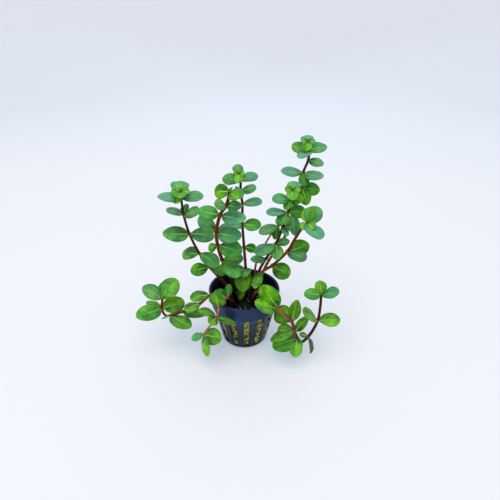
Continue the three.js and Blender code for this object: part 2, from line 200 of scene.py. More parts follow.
SHOOTS: tuple[Shoot, ...] = (
    Shoot("far_left", 1.0, StemTone.RED, StemTone.DARK, 7, (
        at(-6, 1, 24), at(-8, 0, 38), at(-13, -1, 46),
        at(-24, 0, 60, (-159, -5, 13, -47, 0.71), (-10, -20, 13, 20)),
        at(-30, 2, 69, (148, -14, 16, -28, 0.72), (-30, -18, 16, 20)),
        at(-36, 4, 83, (-163, 9, 17.5, -35), (-10, -3, 17, 35)),
        at(-39, 6, 96, (157, 11, 13, -5), (-24, 22, 13.5, 31, 0.72), (84, 29, 9, -10)),
        at(-40, 8, 107, (-150, 13, 15.5, -20), (0, 4, 14.5, 25)),
        at(-40, 8, 111, YoungLeaf(-114, -34, 9, -10, 0.82), (91, 19, 11, 2, 0.91),
           (129, 29, 9.5, -3, 0.85), YoungLeaf(-86, -6, 8.5, 0, 1.05),
           YoungLeaf(0, 8, 6, 35, 1), YoungLeaf(180, 10, 6, -35, 1)),
    )),
    Shoot("mid_left", 1.2, StemTone.DARK, StemTone.RED, 7, (
        at(-3, -3, 24), at(-6.8, -4, 40), at(-8.8, -4, 52),
        at(-14, -9, 71, (-42, -22, 16.5, 11), (-19, 13, 15, 33, 0.71)),
        at(-16, -13, 84, (-21, -6, 16.5, 39, 0.74), (161, -34, 8, -63, 0.75)),
        at(-16, -17, 95, (-24, 2, 16.5, 35), (30, 7, 14.5, 8), (149, 32, 14.5, -17)),
        at(-13, -20, 108, (-22, 0, 16, 26), (-179, 11, 13, -42, 0.72)),
        at(-9, -22, 115, (-142, 17, 8.5, -47, 0.85), (-24, 1, 9, 37, 0.85)),
        at(-7, -23, 123, YoungLeaf(-57, -9, 8.5, 32), (153, -8, 10, -60, 0.85),
           (2, -12, 8, 39, 0.85)),
    )),
    Shoot("centre", 1.0, StemTone.RED, StemTone.DARK, 7, (
        at(2, 4, 24), at(1, 5.5, 42),
        at(1, 7, 54, (-90, 6, 13, 25), (-101, -40, 17.3, -8, 0.72), (-147, 4, 14, -40, 0.75)),
        at(0, 9, 70, (7, -16, 9, 61, 0.74), (-170, 5, 9)),
        at(-1, 11, 87, (-21, 6, 13.5, 44), (-135, 5, 9, -30)),
        at(-1, 13, 101, (-11, 9, 13.5, 20), (-124, -4, 9, -10)),
        at(-2, 14, 110, (-24, 16, 11.5, 35), (139, 14, 5, 0, 0.5)),
        at(-2, 15, 116, (157, 0, 13, -40), (26, 10, 12.5, 25)),
        at(-3, 16, 120, (99, 30, 8.5, 0, 0.85), YoungLeaf(-95, -31, 7.5, 4),
           YoungLeaf(0, 25, 3.8, 35, 1.2), YoungLeaf(180, 25, 3.8, -35, 1.2)),
    )),
    Shoot("right_back", 1.0, StemTone.AMBER, StemTone.DARK, 8, (
        at(7, 3, 24), at(11, 6, 44), at(17, 8, 59), at(29, 13, 78),
        at(33, 16, 92, (-83, -41, 16, -25), (100, 15, 12)),
        at(38, 20, 109, (13, -11, 14, 55), (-56, -54, 12, 30, 0.72)),
        at(39, 22, 119, (-173, 6, 15, -22), (-40, 0, 15, 20), (-88, -44, 10, 0, 0.72)),
        at(42, 24, 127, (-36, -9, 11, 30)),
        at(42, 24.5, 133, (154, 10, 12, -44), (21, 8, 13, 35), (-123, -14, 11.5, 10, 0.91)),
        at(41, 25, 138, (87, 14, 9.5, -8, 0.88), YoungLeaf(-105, -32, 7.5, -1, 1.05),
           (0, 12, 4.8, 35, 1.1), (180, 12, 4.8, -35, 1.1)),
    )),
    Shoot("right_mid", 1.0, StemTone.RED, StemTone.DARK, 7, (
        at(5, -1, 24), at(7, 0, 42), at(11, 0, 58),
        at(15, -1, 67, (-146, 12, 12.5, -13)),
        at(21, -2, 79, (23, 3, 10, 25), (-90, -26, 12.5), (-149, -9, 16.5, -2, 0.75)),
        at(25, -2, 91, (-34, 20, 9, 35), (-74, -19, 8, -20)),
        at(28, -1, 101, (-173, 2, 14, -9), (21, -8, 13, 55), (-132, -29, 10, -30, 0.88)),
        at(29, 0, 109, (-167, 7, 12, -35), YoungLeaf(-112, -32, 8, 20),
           YoungLeaf(-35, 12, 9.5, 45)),
        at(30, 0, 115, (73, 13, 10.5, -3, 0.89), YoungLeaf(-91, -18, 9, 9, 0.89),
           YoungLeaf(0, 15, 5, 35, 1.1), YoungLeaf(180, 15, 5, -35, 1.1)),
    )),
    Shoot("right_front", 1.1, StemTone.AMBER, StemTone.RED, 6, (
        at(6, -5, 24), at(8, -5, 42),
        at(12, -4, 57.5, (-149, -37, 9, -5), (-118, -28, 12.5, 0, 0.55)),
        at(19, -5, 64, (-48, -4, 15.5, 45, 0.73)),
        at(28, -10, 78, (7, 15, 14.5, 48, 0.77), (-47, 0, 15, 12)),
        at(32, -13, 89), at(35, -14.5, 96),
        at(38, -16, 101, YoungLeaf(75, 36, 11, -15), (50, 24, 14, 24, 0.79),
           (-65, -14, 15.5, -4, 0.74), YoungLeaf(-114, -7, 8, -15), YoungLeaf(-68, -2, 8, 35)),
    )),
    Shoot("left_trailing", 1.0, StemTone.AMBER, StemTone.RED, 8, (
        at(-8, -4, 24), at(-12, -6, 36), at(-17, -8.5, 44),
        at(-23.5, -11.6, 43.6, (-180, -6, 13.5, -18)),
        at(-30, -14, 39, (-137, 5, 12.5, -12)),
        at(-42, -15, 33, (-5, -6, 16, 1)),
        at(-50, -15.9, 30.6, (-37, -7, 18, -7, 0.73), (-144, 2, 7, 15, 0.4)),
        at(-54, -16, 30.4),
        at(-56, -15, 36, (-137, 8, 19, -23), (36, -6, 17, 36, 0.72), (168, 18, 11.5, 8, 0.65)),
        at(-55, -14, 43, (169, 33, 15.5, -20, 0.71), (52, 33, 16.5, 30, 0.8),
           (94, 37, 12, -15)),
    )),
    Shoot("front_left", 0.9, StemTone.AMBER, StemTone.PINK, 10, (
        at(-4, -7, 24), at(-7, -11, 36), at(-9.8, -13.2, 42),
        at(-11, -14.6, 44.6, (178, 20, 10, -30, 0.95), (78, 56, 9.2, 0, 0.55)),
        at(-12.4, -17, 45.8), at(-14.2, -19.8, 45.4),
        at(-16.1, -23, 43, (140, 80, 10.8, -50, 1.1)),
        at(-16.9, -24.1, 40),
        at(-18, -24, 35.5, (165, 17, 13, 5), (-115, 14, 10, -36, 0.76), (-9, -16, 12.5, -10)),
        at(-23, -26, 29), at(-25.5, -27.3, 26),
        at(-27, -28, 24, (-161, -13, 8.5, -18, 0.72), (-72, -44, 14.5, 63),
           (-21, 3, 13.5, 48, 0.85)),
    )),
    Shoot("right_trailing", 1.1, StemTone.PINK, StemTone.DARK, 14, (
        at(3, -7, 24), at(6, -8, 38), at(9, -10, 46), at(17.5, -16.5, 45),
        at(22, -21, 41.3, (-164, 24, 17, -15, 0.77), (166, 57, 19.5, -88, 0.73)),
        at(32, -23, 31, (124, -1, 17, -40, 0.81), (64, 52, 15, -25)),
        at(34, -26, 25, (30, 39, 13.5, -10), (160, -8, 12, -36, 0.83), (-163, -13, 17.5, 13)),
        at(36.2, -27.4, 20.2, (-165, -13, 18, -31, 0.71), (-103, -30, 13), (-62, -38, 6.5)),
        at(37.6, -28.2, 17.4), at(40, -28.4, 18.4),
        at(43, -28, 22, (162, 9, 6, -25), Leaf(-84, -43, 11, -55, 0.35, LeafState.WILTED)),
        at(46, -27, 27),
        at(49, -25, 34, (3, 0, 15, 19, 0.72), (-173, 40, 14.5, -10, 0.8)),
        at(50, -23, 44), at(50, -22.3, 49.5),
        at(50, -22, 52.5, (-176, 6, 11.5, -42), (-25, 28, 12.5, 22, 0.74),
           YoungLeaf(94, 41, 9.5, -1)),
    )),
    Shoot("back_right", 0.8, StemTone.RED, StemTone.PINK, 5, (
        at(6, 7, 24), at(7, 8, 45), at(9, 8, 60), at(14, 8, 72), at(18, 8, 80),
        at(21, 7.5, 84.5),
        at(23, 7, 87, (-160, -11, 14, -15), (-124, -58, 9, 5), YoungLeaf(60, 30, 9)),
    )),
)


@dataclass(frozen=True)
class Ring:
    """One ring of a rod: its middle, the rod's direction there, its radius and its colour."""

    middle: Vector
    direction: Vector
    radius: float
    colour: Colour


@dataclass(frozen=True)
class BladeForm:
    """How a blade is thick, grooved, puffed and curved, in millimetres or shares of its size."""

    cells_along: int = 20
    cells_across: int = 14
    thickness: float = 0.42
    groove_depth: float = 0.13
    groove_width: float = 0.55
    rib_depth: float = 0.3
    neck: float = 0.17
    fullness: float = 0.5
    widest: float = 1.05
    puff: float = 0.09
    puff_gain: float = 2.6
    fold: float = 0.05
    cup: float = -0.05
    arch: float = 0.03
    sway: float = 0.0
    wave: float = 0.03
    wave_turns: float = 1.6
    wave_phase: float = 0.0
    wave_lag: float = 1.9
    twist: float = 0.0

    @classmethod
    def grown(cls, leaf: Leaf, youth: float, chance: random.Random) -> "BladeForm":
        """Varies the form as one leaf differs from the next.

        Args:
            leaf: The leaf that the form is for.
            youth: 0 for an old leaf and 1 for a new one, which cups upwards.
            chance: The seeded source of the differences.

        Returns:
            The leaf's own form.
        """
        wilted = leaf.state is LeafState.WILTED
        droop = chance.uniform(-0.13, 0.02)
        cupped = chance.uniform(0.02, 0.12)
        return cls(
            thickness=0.25 if wilted else 0.42,
            fullness=chance.uniform(0.45, 0.56),
            widest=chance.uniform(0.97, 1.12),
            puff=chance.uniform(0.045, 0.085),
            cup=0.9 if wilted else blend(droop, cupped, youth),
            arch=chance.uniform(0.02, 0.045),
            sway=chance.uniform(-0.035, 0.035),
            wave=0.12 if wilted else chance.uniform(0.015, 0.045),
            wave_turns=chance.uniform(1.0, 2.2),
            wave_phase=chance.uniform(0, math.tau),
            twist=math.radians(chance.uniform(-12, 12)),
        )

    def width_share(self, share: float) -> float:
        """Returns the width at a share of the length, over the full width."""
        rounded = max(0.0, math.sin(math.pi * share**self.widest)) ** self.fullness
        return rounded if share > 0.5 else max(self.neck, rounded)

    def top(self, share: float, edge: float, half: float) -> float:
        """Returns the height of the upper face.

        Args:
            share: The share of the length.
            edge: The share of the half width, below zero on the right.
            half: Half the width there.

        Returns:
            The height over the line from base to tip, without the arch.
        """
        side = abs(edge)
        groove = math.exp(-((edge * half / self.groove_width) ** 2)) * math.sqrt(1 - share)
        swell = self.puff * self.puff_gain * side * (1 - side * side)
        lag = self.wave_lag if edge > 0 else 0
        turn = math.tau * self.wave_turns * share + self.wave_phase + lag
        ripple = self.wave * side * side * math.sin(turn)
        return half * (swell + self.fold * side + self.cup * side * side + ripple) - (
            self.groove_depth * groove
        )

    def depth(self, share: float, edge: float, half: float) -> float:
        """Returns the thickness, which is nothing at the outline and most along the midrib.

        Args:
            share: The share of the length.
            edge: The share of the half width, below zero on the right.
            half: Half the width there.

        Returns:
            The thickness.
        """
        body = math.sqrt(1 - edge**6) * math.sqrt(1 - abs(2 * share - 1) ** 10)
        rib = self.rib_depth * math.exp(-((edge * half / self.groove_width) ** 2))
        return body * (self.thickness + rib * (1 - share))


@dataclass(frozen=True)
class BloomAndSheen:
    """A leaf's glaucous blue and painted sky sheen: most when it lies level, high up or at a
    shoot's end.
    """

    # The way towards the sky lamp, above and behind, whose sheen is painted on the leaves.
    side: Point = (0.1, 0.45, 0.88)
    facing: tuple[float, float] = (0.1, 0.85)
    heights: tuple[float, float] = (50, 115)
    end_youths: tuple[float, float] = (0.2, 0.3)
    end_share: float = 0.8
    least: float = 0.1
    young_loss: float = 0.92
    shade_share: float = 0.85

    def amount(self, normal: Vector, height: float, youth: float, shade: float) -> float:
        """Finds one leaf's share of the glaucous blue and its painted sky sheen.

        Args:
            normal: The way that its upper face looks.
            height: How high its foot is.
            youth: 0 for an old leaf and 1 for a new one.
            shade: How much lighter or darker than its neighbours it is, from -1 to 1.

        Returns:
            The share.
        """
        # Painted sky sheen: the more the upper face looks towards the sky lamp, the more teal the
        # leaf gets.
        lit = smooth_share(*self.facing, normal.dot(Vector(self.side)))
        at_end = self.end_share * smooth_share(*self.end_youths, youth)
        exposed = max(smooth_share(*self.heights, height), at_end)
        bloom_and_sheen = (1 - self.young_loss * youth) * lit
        return bloom_and_sheen * (blend(self.least, 1, exposed) * blend(self.shade_share, 1, shade))


class PieceMesh:
    """One piece's mesh while it is built, with the attributes that the finishes read.

    blade holds the millimetres from the midrib, the share of the length and the share of the half
    width. tone holds youth, shade and the underside's share. coat holds how far a leaf has faded
    and its glaucous blue, which has a painted sky sheen in it. tint holds a stem's colour.
    """

    # How the glaucous blue and its painted sky sheen are shared out among the blades.
    bloom_and_sheen: BloomAndSheen = BloomAndSheen()
    seam: float = 0.002

    def __init__(self) -> None:
        """Starts an empty mesh."""
        self.mesh: BMesh = bmesh.new()
        layers = self.mesh.verts.layers
        self.blade = layers.float_vector.new("blade")
        self.tone = layers.float_vector.new("tone")
        self.tint = layers.float_vector.new("tint")
        self.coat = layers.float_vector.new("coat")
        self.uv = self.mesh.loops.layers.uv.new("UVMap")

    def add_rod(
        self, rings: Sequence[Ring], sides: int, material: int = 0, ridge: float = 0.0
    ) -> None:
        """Extrudes a closed rod from ring to ring.

        Args:
            rings: The rings, from end to end.
            sides: How many faces go round it.
            material: The material slot of its faces.
            ridge: How far its four ridges stand out, over its radius.
        """
        mesh = self.mesh
        turn = UP.rotation_difference(rings[0].direction)
        here = ring_matrix(rings[0], turn)
        start = bmesh.ops.create_circle(mesh, cap_ends=True, segments=sides, radius=1.0)["verts"]
        for vert in start:
            angle = math.atan2(vert.co.y, vert.co.x)
            vert.co *= 1 + ridge * math.cos(4 * angle)
            vert[self.tint] = rings[0].colour
        bmesh.ops.transform(mesh, matrix=here, verts=start)
        loop = {edge for vert in start for edge in vert.link_edges}
        faces = {face for vert in start for face in vert.link_faces}
        for before, ring in zip(rings, rings[1:]):
            turn = before.direction.rotation_difference(ring.direction) @ turn
            ahead = ring_matrix(ring, turn)
            grown = bmesh.ops.extrude_edge_only(mesh, edges=list(loop))["geom"]
            verts = {part for part in grown if isinstance(part, BMVert)}
            loop = {edge for vert in verts for edge in vert.link_edges if set(edge.verts) <= verts}
            faces |= {face for vert in verts for face in vert.link_faces}
            bmesh.ops.transform(mesh, matrix=ahead @ here.inverted(), verts=list(verts))
            for vert in verts:
                vert[self.tint] = ring.colour
            here = ahead
        faces |= set(bmesh.ops.edgeloop_fill(mesh, edges=list(loop))["faces"])
        bmesh.ops.recalc_face_normals(mesh, faces=list(faces))
        for face in faces:
            face.material_index = material

    def add_blade(
        self, start: Vector, leaf: Leaf, tip: Vector, form: BladeForm, youth: float, shade: float
    ) -> None:
        """Adds one closed leaf blade, from an upper and an under sheet that meet at the outline.

        Args:
            start: Where the blade starts, at the stem.
            leaf: The leaf.
            tip: Where the blade ends.
            form: The blade's curves and thickness.
            youth: 0 for an old leaf and 1 for a new one.
            shade: How much lighter or darker than its neighbours the leaf is, from -1 to 1.
        """
        midrib = tip - start
        along = midrib.normalized()
        level = (UP - along * along.z).normalized()
        normal = Matrix.Rotation(math.radians(leaf.roll), 3, along) @ level
        across = along.cross(normal)
        half_width = leaf.breadth * leaf.length / 2
        # How much glaucous blue, with its painted sky sheen, the blade gets from the way its upper
        # face looks.
        bloom_and_sheen = self.bloom_and_sheen.amount(normal, start.z, youth, shade)
        verts: list[BMVert] = []
        for under in (False, True):
            sheet = bmesh.ops.create_grid(
                self.mesh, x_segments=form.cells_along, y_segments=form.cells_across, size=0.5
            )["verts"]
            for vert in sheet:
                share = (1 - math.cos(math.pi * (vert.co.x + 0.5))) / 2
                edge = -math.copysign((1 - math.cos(math.tau * vert.co.y)) / 2, vert.co.y)
                half = half_width * form.width_share(share)
                height = form.top(share, edge, half)
                if under:
                    height -= form.depth(share, edge, half)
                angle = form.twist * (2 * share - 1)
                sideways = across * math.cos(angle) + normal * math.sin(angle)
                raised = normal * math.cos(angle) - across * math.sin(angle)
                sway = form.sway * midrib.length * math.sin(math.pi * share)
                arch = 4 * form.arch * midrib.length * share * (1 - share)
                vert.co = (
                    start + midrib * share + across * sway + normal * arch
                    + sideways * (edge * half) + raised * height
                )
                vert[self.blade] = (edge * half, share, abs(edge))
                vert[self.tone] = (youth, shade, float(under and 0 < share < 1 and abs(edge) < 1))
                vert[self.coat] = (leaf.state.value, bloom_and_sheen, 0)
            if under:
                faces = {face for vert in sheet for face in vert.link_faces}
                bmesh.ops.reverse_faces(self.mesh, faces=list(faces))
            verts += sheet
        faces = {face for vert in verts for face in vert.link_faces}
        for face in faces:
            for loop in face.loops:
                across_share = loop.vert[self.blade].x / (2 * half_width) + 0.5
                loop[self.uv].uv = (across_share, loop.vert[self.blade].y)
        bmesh.ops.remove_doubles(self.mesh, verts=verts, dist=self.seam)

    def place(
        self, name: str, slot: str, finishes: Iterable[Material], stands_for: str = ""
    ) -> bpy.types.Object:
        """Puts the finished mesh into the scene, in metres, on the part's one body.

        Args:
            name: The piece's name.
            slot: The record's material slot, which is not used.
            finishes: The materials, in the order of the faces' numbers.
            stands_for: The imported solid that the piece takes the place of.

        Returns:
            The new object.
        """
        bmesh.ops.scale(self.mesh, vec=(MM, MM, MM), verts=self.mesh.verts)
        data = bpy.data.meshes.new(name)
        self.mesh.to_mesh(data)
        self.mesh.free()
        data.shade_smooth()
        for finish in finishes:
            data.materials.append(finish)
        piece = bpy.data.objects.new(name, data)
        bpy.context.scene.collection.objects.link(piece)
        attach(piece, "root")
        if stands_for:
            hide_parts(stands_for)
        LOG.info("%s: %d faces, for %s", name, len(data.polygons), stands_for or "itself")
        return piece


def ring_matrix(ring: Ring, turn: Quaternion) -> Matrix:
    """Returns the matrix that takes the unit circle to a ring."""
    return Matrix.LocRotScale(ring.middle, turn, Vector((ring.radius, ring.radius, ring.radius)))


def rounded_end(ring: Ring, length: float) -> list[Ring]:
    """Rounds off a rod past its last ring.

    Args:
        ring: The last ring.
        length: How much longer the rod becomes.

    Returns:
        Two smaller rings.
    """
    way, steps = ring.direction, ((0.6, 0.78), (1.0, 0.3))
    return [
        Ring(ring.middle + way * length * far, way, ring.radius * thin, ring.colour)
        for far, thin in steps
    ]


def thread(points: Sequence[Vector], radius: float, colour: Colour) -> list[Ring]:
    """Makes a thin thread that tapers towards both of its ends.

    Args:
        points: Its middle line.
        radius: Its radius half way along.
        colour: Its colour.

    Returns:
        Its rings.
    """
    last = len(points) - 1
    return [
        Ring(point, way, radius * blend(0.5, 1, math.sin(math.pi * step / last)), colour)
        for step, (point, way) in enumerate(zip(points, directions(points)))
    ]


class StemPath:
    """A shoot's smooth middle line, from its root to its end."""

    spacing: float = 1.1
    taper: tuple[float, float] = (1.06, 0.78)
    swell: float = 0.15
    swell_length: float = 1.4
    tone_shares: tuple[float, float] = (0.1, 0.75)
    pot_shade: float = 0.04
    shade_radii: tuple[float, float] = (14, 21)
    shade_heights: tuple[float, float] = (37, 57)

    def __init__(self, shoot: Shoot) -> None:
        """Draws the line through the shoot's nodes.

        Args:
            shoot: The shoot.
        """
        self.shoot = shoot
        self.nodes = [Vector(place.at) for place in shoot.nodes]
        self.ways = directions(self.nodes)
        self.points: list[Vector] = self.nodes[:1]
        self.node_steps: list[int] = [0]
        stretches = zip(self.nodes, self.nodes[1:], self.ways, self.ways[1:])
        for here, ahead, way, way_ahead in stretches:
            reach = (ahead - here).length / 3
            count = max(3, round(3 * reach / self.spacing))
            bends = (here + way * reach, ahead - way_ahead * reach)
            self.points += interpolate_bezier(here, *bends, ahead, count + 1)[1:]
            self.node_steps.append(len(self.points) - 1)
        self.reaches = [0.0]
        for here, ahead in zip(self.points, self.points[1:]):
            self.reaches.append(self.reaches[-1] + (ahead - here).length)

    def node_reach(self, index: int) -> float:
        """Returns how far along the line a node is."""
        return self.reaches[self.node_steps[index]]

    def radius_at(self, reach: float) -> float:
        """Finds the stem's radius, which thins towards the tip and swells at the leaves.

        Args:
            reach: How far along the stem.

        Returns:
            The radius.
        """
        leafy = [self.node_reach(i) for i, place in enumerate(self.shoot.nodes) if place.leaves]
        near = max(math.exp(-(((reach - middle) / self.swell_length) ** 2)) for middle in leafy)
        taper = blend(*self.taper, reach / self.reaches[-1])
        return self.shoot.radius * taper * (1 + self.swell * near)

    def rings(self, start: float, end: float) -> list[Ring]:
        """Finds the stem's rings, which are dark where it stands in the pot's shade.

        Args:
            start: How far from the root the first one is.
            end: How far the last one is.

        Returns:
            The rings.
        """
        rings = []
        for place, way, reach in zip(self.points, directions(self.points), self.reaches):
            if start <= reach <= end:
                clear = smooth_share(*self.shade_radii, math.hypot(place.x, place.y))
                clear = max(clear, smooth_share(*self.shade_heights, place.z))
                light = blend(self.pot_shade, 1, clear)
                share = smooth_share(*self.tone_shares, reach / self.reaches[-1])
                colour = tuple(channel * light for channel in self.shoot.tone_at(share))
                rings.append(Ring(place, way, self.radius_at(reach), colour))
        return rings


@dataclass
class PlantPiece:
    """What the pieces of a shoot share. The finishes are the leaves' and the stem's."""

    path: StemPath
    finishes: list[Material]
    stem_sides: int = 12
    ridge: float = 0.05
    crown_foot: float = 2.5
    top_youth: float = 0.3

    def crown_reach(self) -> float:
        """Returns how far along the stem its growing tip starts."""
        return self.path.node_reach(self.path.shoot.crown) - self.crown_foot

    def grow_leaves(self, piece: PieceMesh, index: int, distance: float) -> None:
        """Adds the leaves of one node.

        Args:
            piece: The mesh that they join.
            index: The node's number.
            distance: How far from the stem's middle line they start.
        """
        shoot = self.path.shoot
        chance = random.Random(f"{shoot.name} {index}")
        middle, stem = self.path.nodes[index], self.path.ways[index]
        rank = index / (len(shoot.nodes) - 1)
        for leaf in shoot.nodes[index].leaves:
            youth = 1.0 if isinstance(leaf, YoungLeaf) else self.top_youth * rank**3
            along = leaf.direction()
            outward = (along - stem * along.dot(stem)).normalized()
            form = BladeForm.grown(leaf, youth, chance)
            shade = chance.uniform(-1, 1)
            tip = middle + along * leaf.length
            piece.add_blade(middle + outward * distance, leaf, tip, form, youth, shade)


class Stem(PlantPiece):
    """A stem, from its root in the rock wool to just below its growing tip."""

    def build(self) -> None:
        """Builds and dresses the stem."""
        piece = PieceMesh()
        piece.add_rod(self.path.rings(0.0, self.crown_reach()), self.stem_sides, ridge=self.ridge)
        name = self.path.shoot.name
        piece.place(f"{name}_stem", "stem", self.finishes[1:], f"stem_{name}")


@dataclass
class LeafPair(PlantPiece):
    """The leaves of one node and the swollen collar round the stem that they grow from.

    The collar's rings are given as shares of its half height and how full each is.
    """

    collar_rings: tuple[tuple[float, float], ...] = (
        (-1, 0.8), (-0.8, 0.98), (-0.35, 0.92), (0, 1), (0.35, 0.92), (0.8, 0.98), (1, 0.8),
    )
    leaf_depth: float = 0.8
    collar_height: float = 1.8
    collar_swell: float = 1.3
    collar_colour: Colour = (0.13, 0.085, 0.014)

    def build(self, index: int) -> None:
        """Builds and dresses the leaves of one node.

        Args:
            index: The node's number.
        """
        shoot = self.path.shoot
        piece = PieceMesh()
        radius = self.path.radius_at(self.path.node_reach(index))
        self.grow_leaves(piece, index, self.leaf_depth * radius)
        way = self.path.ways[index]
        stem_colour = shoot.tone_at(index / len(shoot.nodes))
        rings = []
        for far, fullness in self.collar_rings:
            width = blend(1, self.collar_swell, 1 - abs(far)) * fullness
            colour = blend_colours(self.collar_colour, stem_colour, abs(far))
            middle = self.path.nodes[index] + way * (far * self.collar_height / 2)
            rings.append(Ring(middle, way, radius * width, colour))
        piece.add_rod(rings, self.stem_sides, material=1)
        name = f"leaves_{shoot.name}_{index}"
        piece.place(f"{shoot.name}_leaves_{index}", "leaf", self.finishes, name)


@dataclass
class GrowingTip(PlantPiece):
    """The end of a shoot: its last stretch of stem, its crowded young leaves and its bud."""

    overlap: float = 1.2
    end_length: float = 0.8
    bud_lengths: tuple[float, ...] = (3.0, 2.8, 1.9, 1.8)
    bud_lean: float = 24.0
    bud_uprise: float = 0.8
    bud_offset: float = 0.3
    bud_breadth: float = 0.8
    bud_form: BladeForm = BladeForm(
        cells_along=10, cells_across=8, thickness=0.3, groove_depth=0.12, rib_depth=0.1,
        cup=0.45, wave=0.0,
    )

    def build(self) -> None:
        """Builds and dresses the growing tip."""
        shoot = self.path.shoot
        piece = PieceMesh()
        for index in range(shoot.crown, len(shoot.nodes)):
            self.grow_leaves(piece, index, shoot.radius / 2)
        self.grow_bud(piece)
        rings = self.path.rings(self.crown_reach() - self.overlap, self.path.reaches[-1])
        rings += rounded_end(rings[-1], self.end_length)
        piece.add_rod(rings, self.stem_sides, material=1, ridge=self.ridge)
        piece.place(f"{shoot.name}_tip", "young_leaf", self.finishes, f"crown_{shoot.name}")

    def grow_bud(self, piece: PieceMesh) -> None:
        """Adds the folded leaves at the very end, each pair at right angles to the last.

        Args:
            piece: The mesh that they join.
        """
        shoot = self.path.shoot
        way = (self.path.ways[-1] + UP * self.bud_uprise).normalized()
        heading = shoot.nodes[-1].leaves[0].heading + 90
        chance = random.Random(f"{shoot.name} bud")
        lean = math.radians(self.bud_lean)
        for number, length in enumerate(self.bud_lengths):
            side = around(1, math.radians(heading + 180 * number + 90 * (number // 2)), 0)
            along = (way * math.cos(lean) + side * math.sin(lean)).normalized()
            course = math.degrees(math.atan2(along.y, along.x))
            lift = math.degrees(math.asin(along.z))
            leaf = YoungLeaf(course, lift, length, breadth=self.bud_breadth)
            start = self.path.nodes[-1] + side * self.bud_offset
            shade = chance.uniform(0.2, 1)
            piece.add_blade(start, leaf, start + along * length, self.bud_form, 1.0, shade)


@dataclass
class NetPot:
    """The moulded pot: floor with drains, tapered wall with slots, plain band and rolled lip."""

    height: float = 42.0
    rim_radius: float = 25.0
    base_radius: float = 16.4
    base_corner: float = 0.8
    wall: float = 1.1
    lip_height: float = 1.4
    lip_overhang: float = 0.8
    band_foot: float = 30.0
    band_step: float = 0.4
    wall_foot_radius: float = 16.8
    wall_top_radius: float = 22.9
    slot_count: int = 14
    slot_share: float = 0.52
    slot_turn: float = -85.0
    slot_foot: float = 2.6
    columns_per_slot: int = 12
    wall_rows: int = 9
    drain_start: float = 7.0
    drain_end: float = 13.0
    drain_width: float = 2.4
    drain_count: int = 4
    edge_round: float = 0.22
    edge_angle: float = 38.0
    merge: float = 0.001

    def wall_radius(self, height: float) -> float:
        """Returns the outside radius of the slotted wall at a height."""
        share = (height - self.slot_foot) / (self.band_foot - self.slot_foot)
        return blend(self.wall_foot_radius, self.wall_top_radius, share)

    def slot_near(self, place: Vector) -> tuple[int, float]:
        """Finds the slot nearest to a place.

        Args:
            place: The place.

        Returns:
            The slot's number, and how far round from its middle the place is, in shares of the
            slots' pitch and above zero anticlockwise.
        """
        angle = math.atan2(place.y, place.x) - math.radians(self.slot_turn)
        turns = angle * self.slot_count / math.tau
        return round(turns) % self.slot_count, turns - round(turns)

    def profile(self) -> list[tuple[float, float]]:
        """Draws the outside of the pot.

        Returns:
            Radius and height of its points, from the axis to the rim.
        """
        rows = self.wall_rows
        heights = [blend(self.slot_foot, self.band_foot, row / rows) for row in range(rows + 1)]
        step_radius = self.wall_top_radius + self.band_step
        step_height = self.band_foot + self.band_step
        neck_radius = self.rim_radius - self.lip_overhang
        lip_foot = self.height - self.lip_height
        return [
            (0, 0),
            (self.drain_start, 0),
            (self.drain_end, 0),
            (self.base_radius - self.base_corner, 0),
            (self.base_radius, self.base_corner),
            *((self.wall_radius(height), height) for height in heights),
            *(
                (blend(step_radius, neck_radius, share), blend(step_height, lip_foot, share))
                for share in (0, 0.33, 0.67, 1)
            ),
            (self.rim_radius, lip_foot + self.band_step),
            (self.rim_radius, self.height),
        ]

    def build(self, finishes: list[Material]) -> None:
        """Builds and dresses the pot.

        Args:
            finishes: The plastic outside, and a darker copy for the inside that paints its shade.
        """
        piece = PieceMesh()
        steps = self.slot_count * self.columns_per_slot
        spin_outline(piece.mesh, self.profile(), steps, self.merge, self.slot_turn)
        self.space_columns(piece.mesh)
        holes = [face for face in piece.mesh.faces if self.is_open(face.calc_center_median())]
        bmesh.ops.delete(piece.mesh, geom=holes, context="FACES")
        bmesh.ops.recalc_face_normals(piece.mesh, faces=piece.mesh.faces)
        pot = piece.place("net_pot", "pot", finishes, "pot")
        walls = pot.modifiers.new("walls", "SOLIDIFY")
        walls.thickness = self.wall * MM
        walls.offset = -1
        walls.use_even_offset = True
        walls.material_offset = 1
        rounding = pot.modifiers.new("rounding", "BEVEL")
        rounding.width = self.edge_round * MM
        rounding.segments = 2
        rounding.limit_method = "ANGLE"
        rounding.angle_limit = math.radians(self.edge_angle)
        rounding.harden_normals = True

    def space_columns(self, mesh: BMesh) -> None:
        """Moves the evenly spaced columns of the wall so that two stand at each slot's sides.

        Args:
            mesh: The pot's mesh.
        """
        pitch = math.tau / self.slot_count
        even, wanted = 0.25, self.slot_share / 2
        for vert in mesh.verts:
            if vert.co.z >= self.base_corner:
                near = self.slot_near(vert.co)[1]
                moved = near * wanted / even
                if abs(near) > even:
                    past = (abs(near) - even) * (0.5 - wanted) / (0.5 - even)
                    moved = math.copysign(wanted + past, near)
                vert.co = Matrix.Rotation((moved - near) * pitch, 3, "Z") @ vert.co

    def is_open(self, middle: Vector) -> bool:
        """Tells whether a face is a part of a slot or of a straight-sided drain.

        Args:
            middle: The face's middle.

        Returns:
            True where there is no plastic.
        """
        if self.slot_foot < middle.z < self.band_foot:
            return abs(self.slot_near(middle)[1]) < self.slot_share / 2
        pitch = math.tau / self.drain_count
        radius, angle = math.hypot(middle.x, middle.y), math.atan2(middle.y, middle.x)
        across = abs(angle - round(angle / pitch) * pitch) * radius
        on_floor = middle.z < self.base_corner / 4 and self.drain_start < radius < self.drain_end
        return on_floor and across < self.drain_width / 2


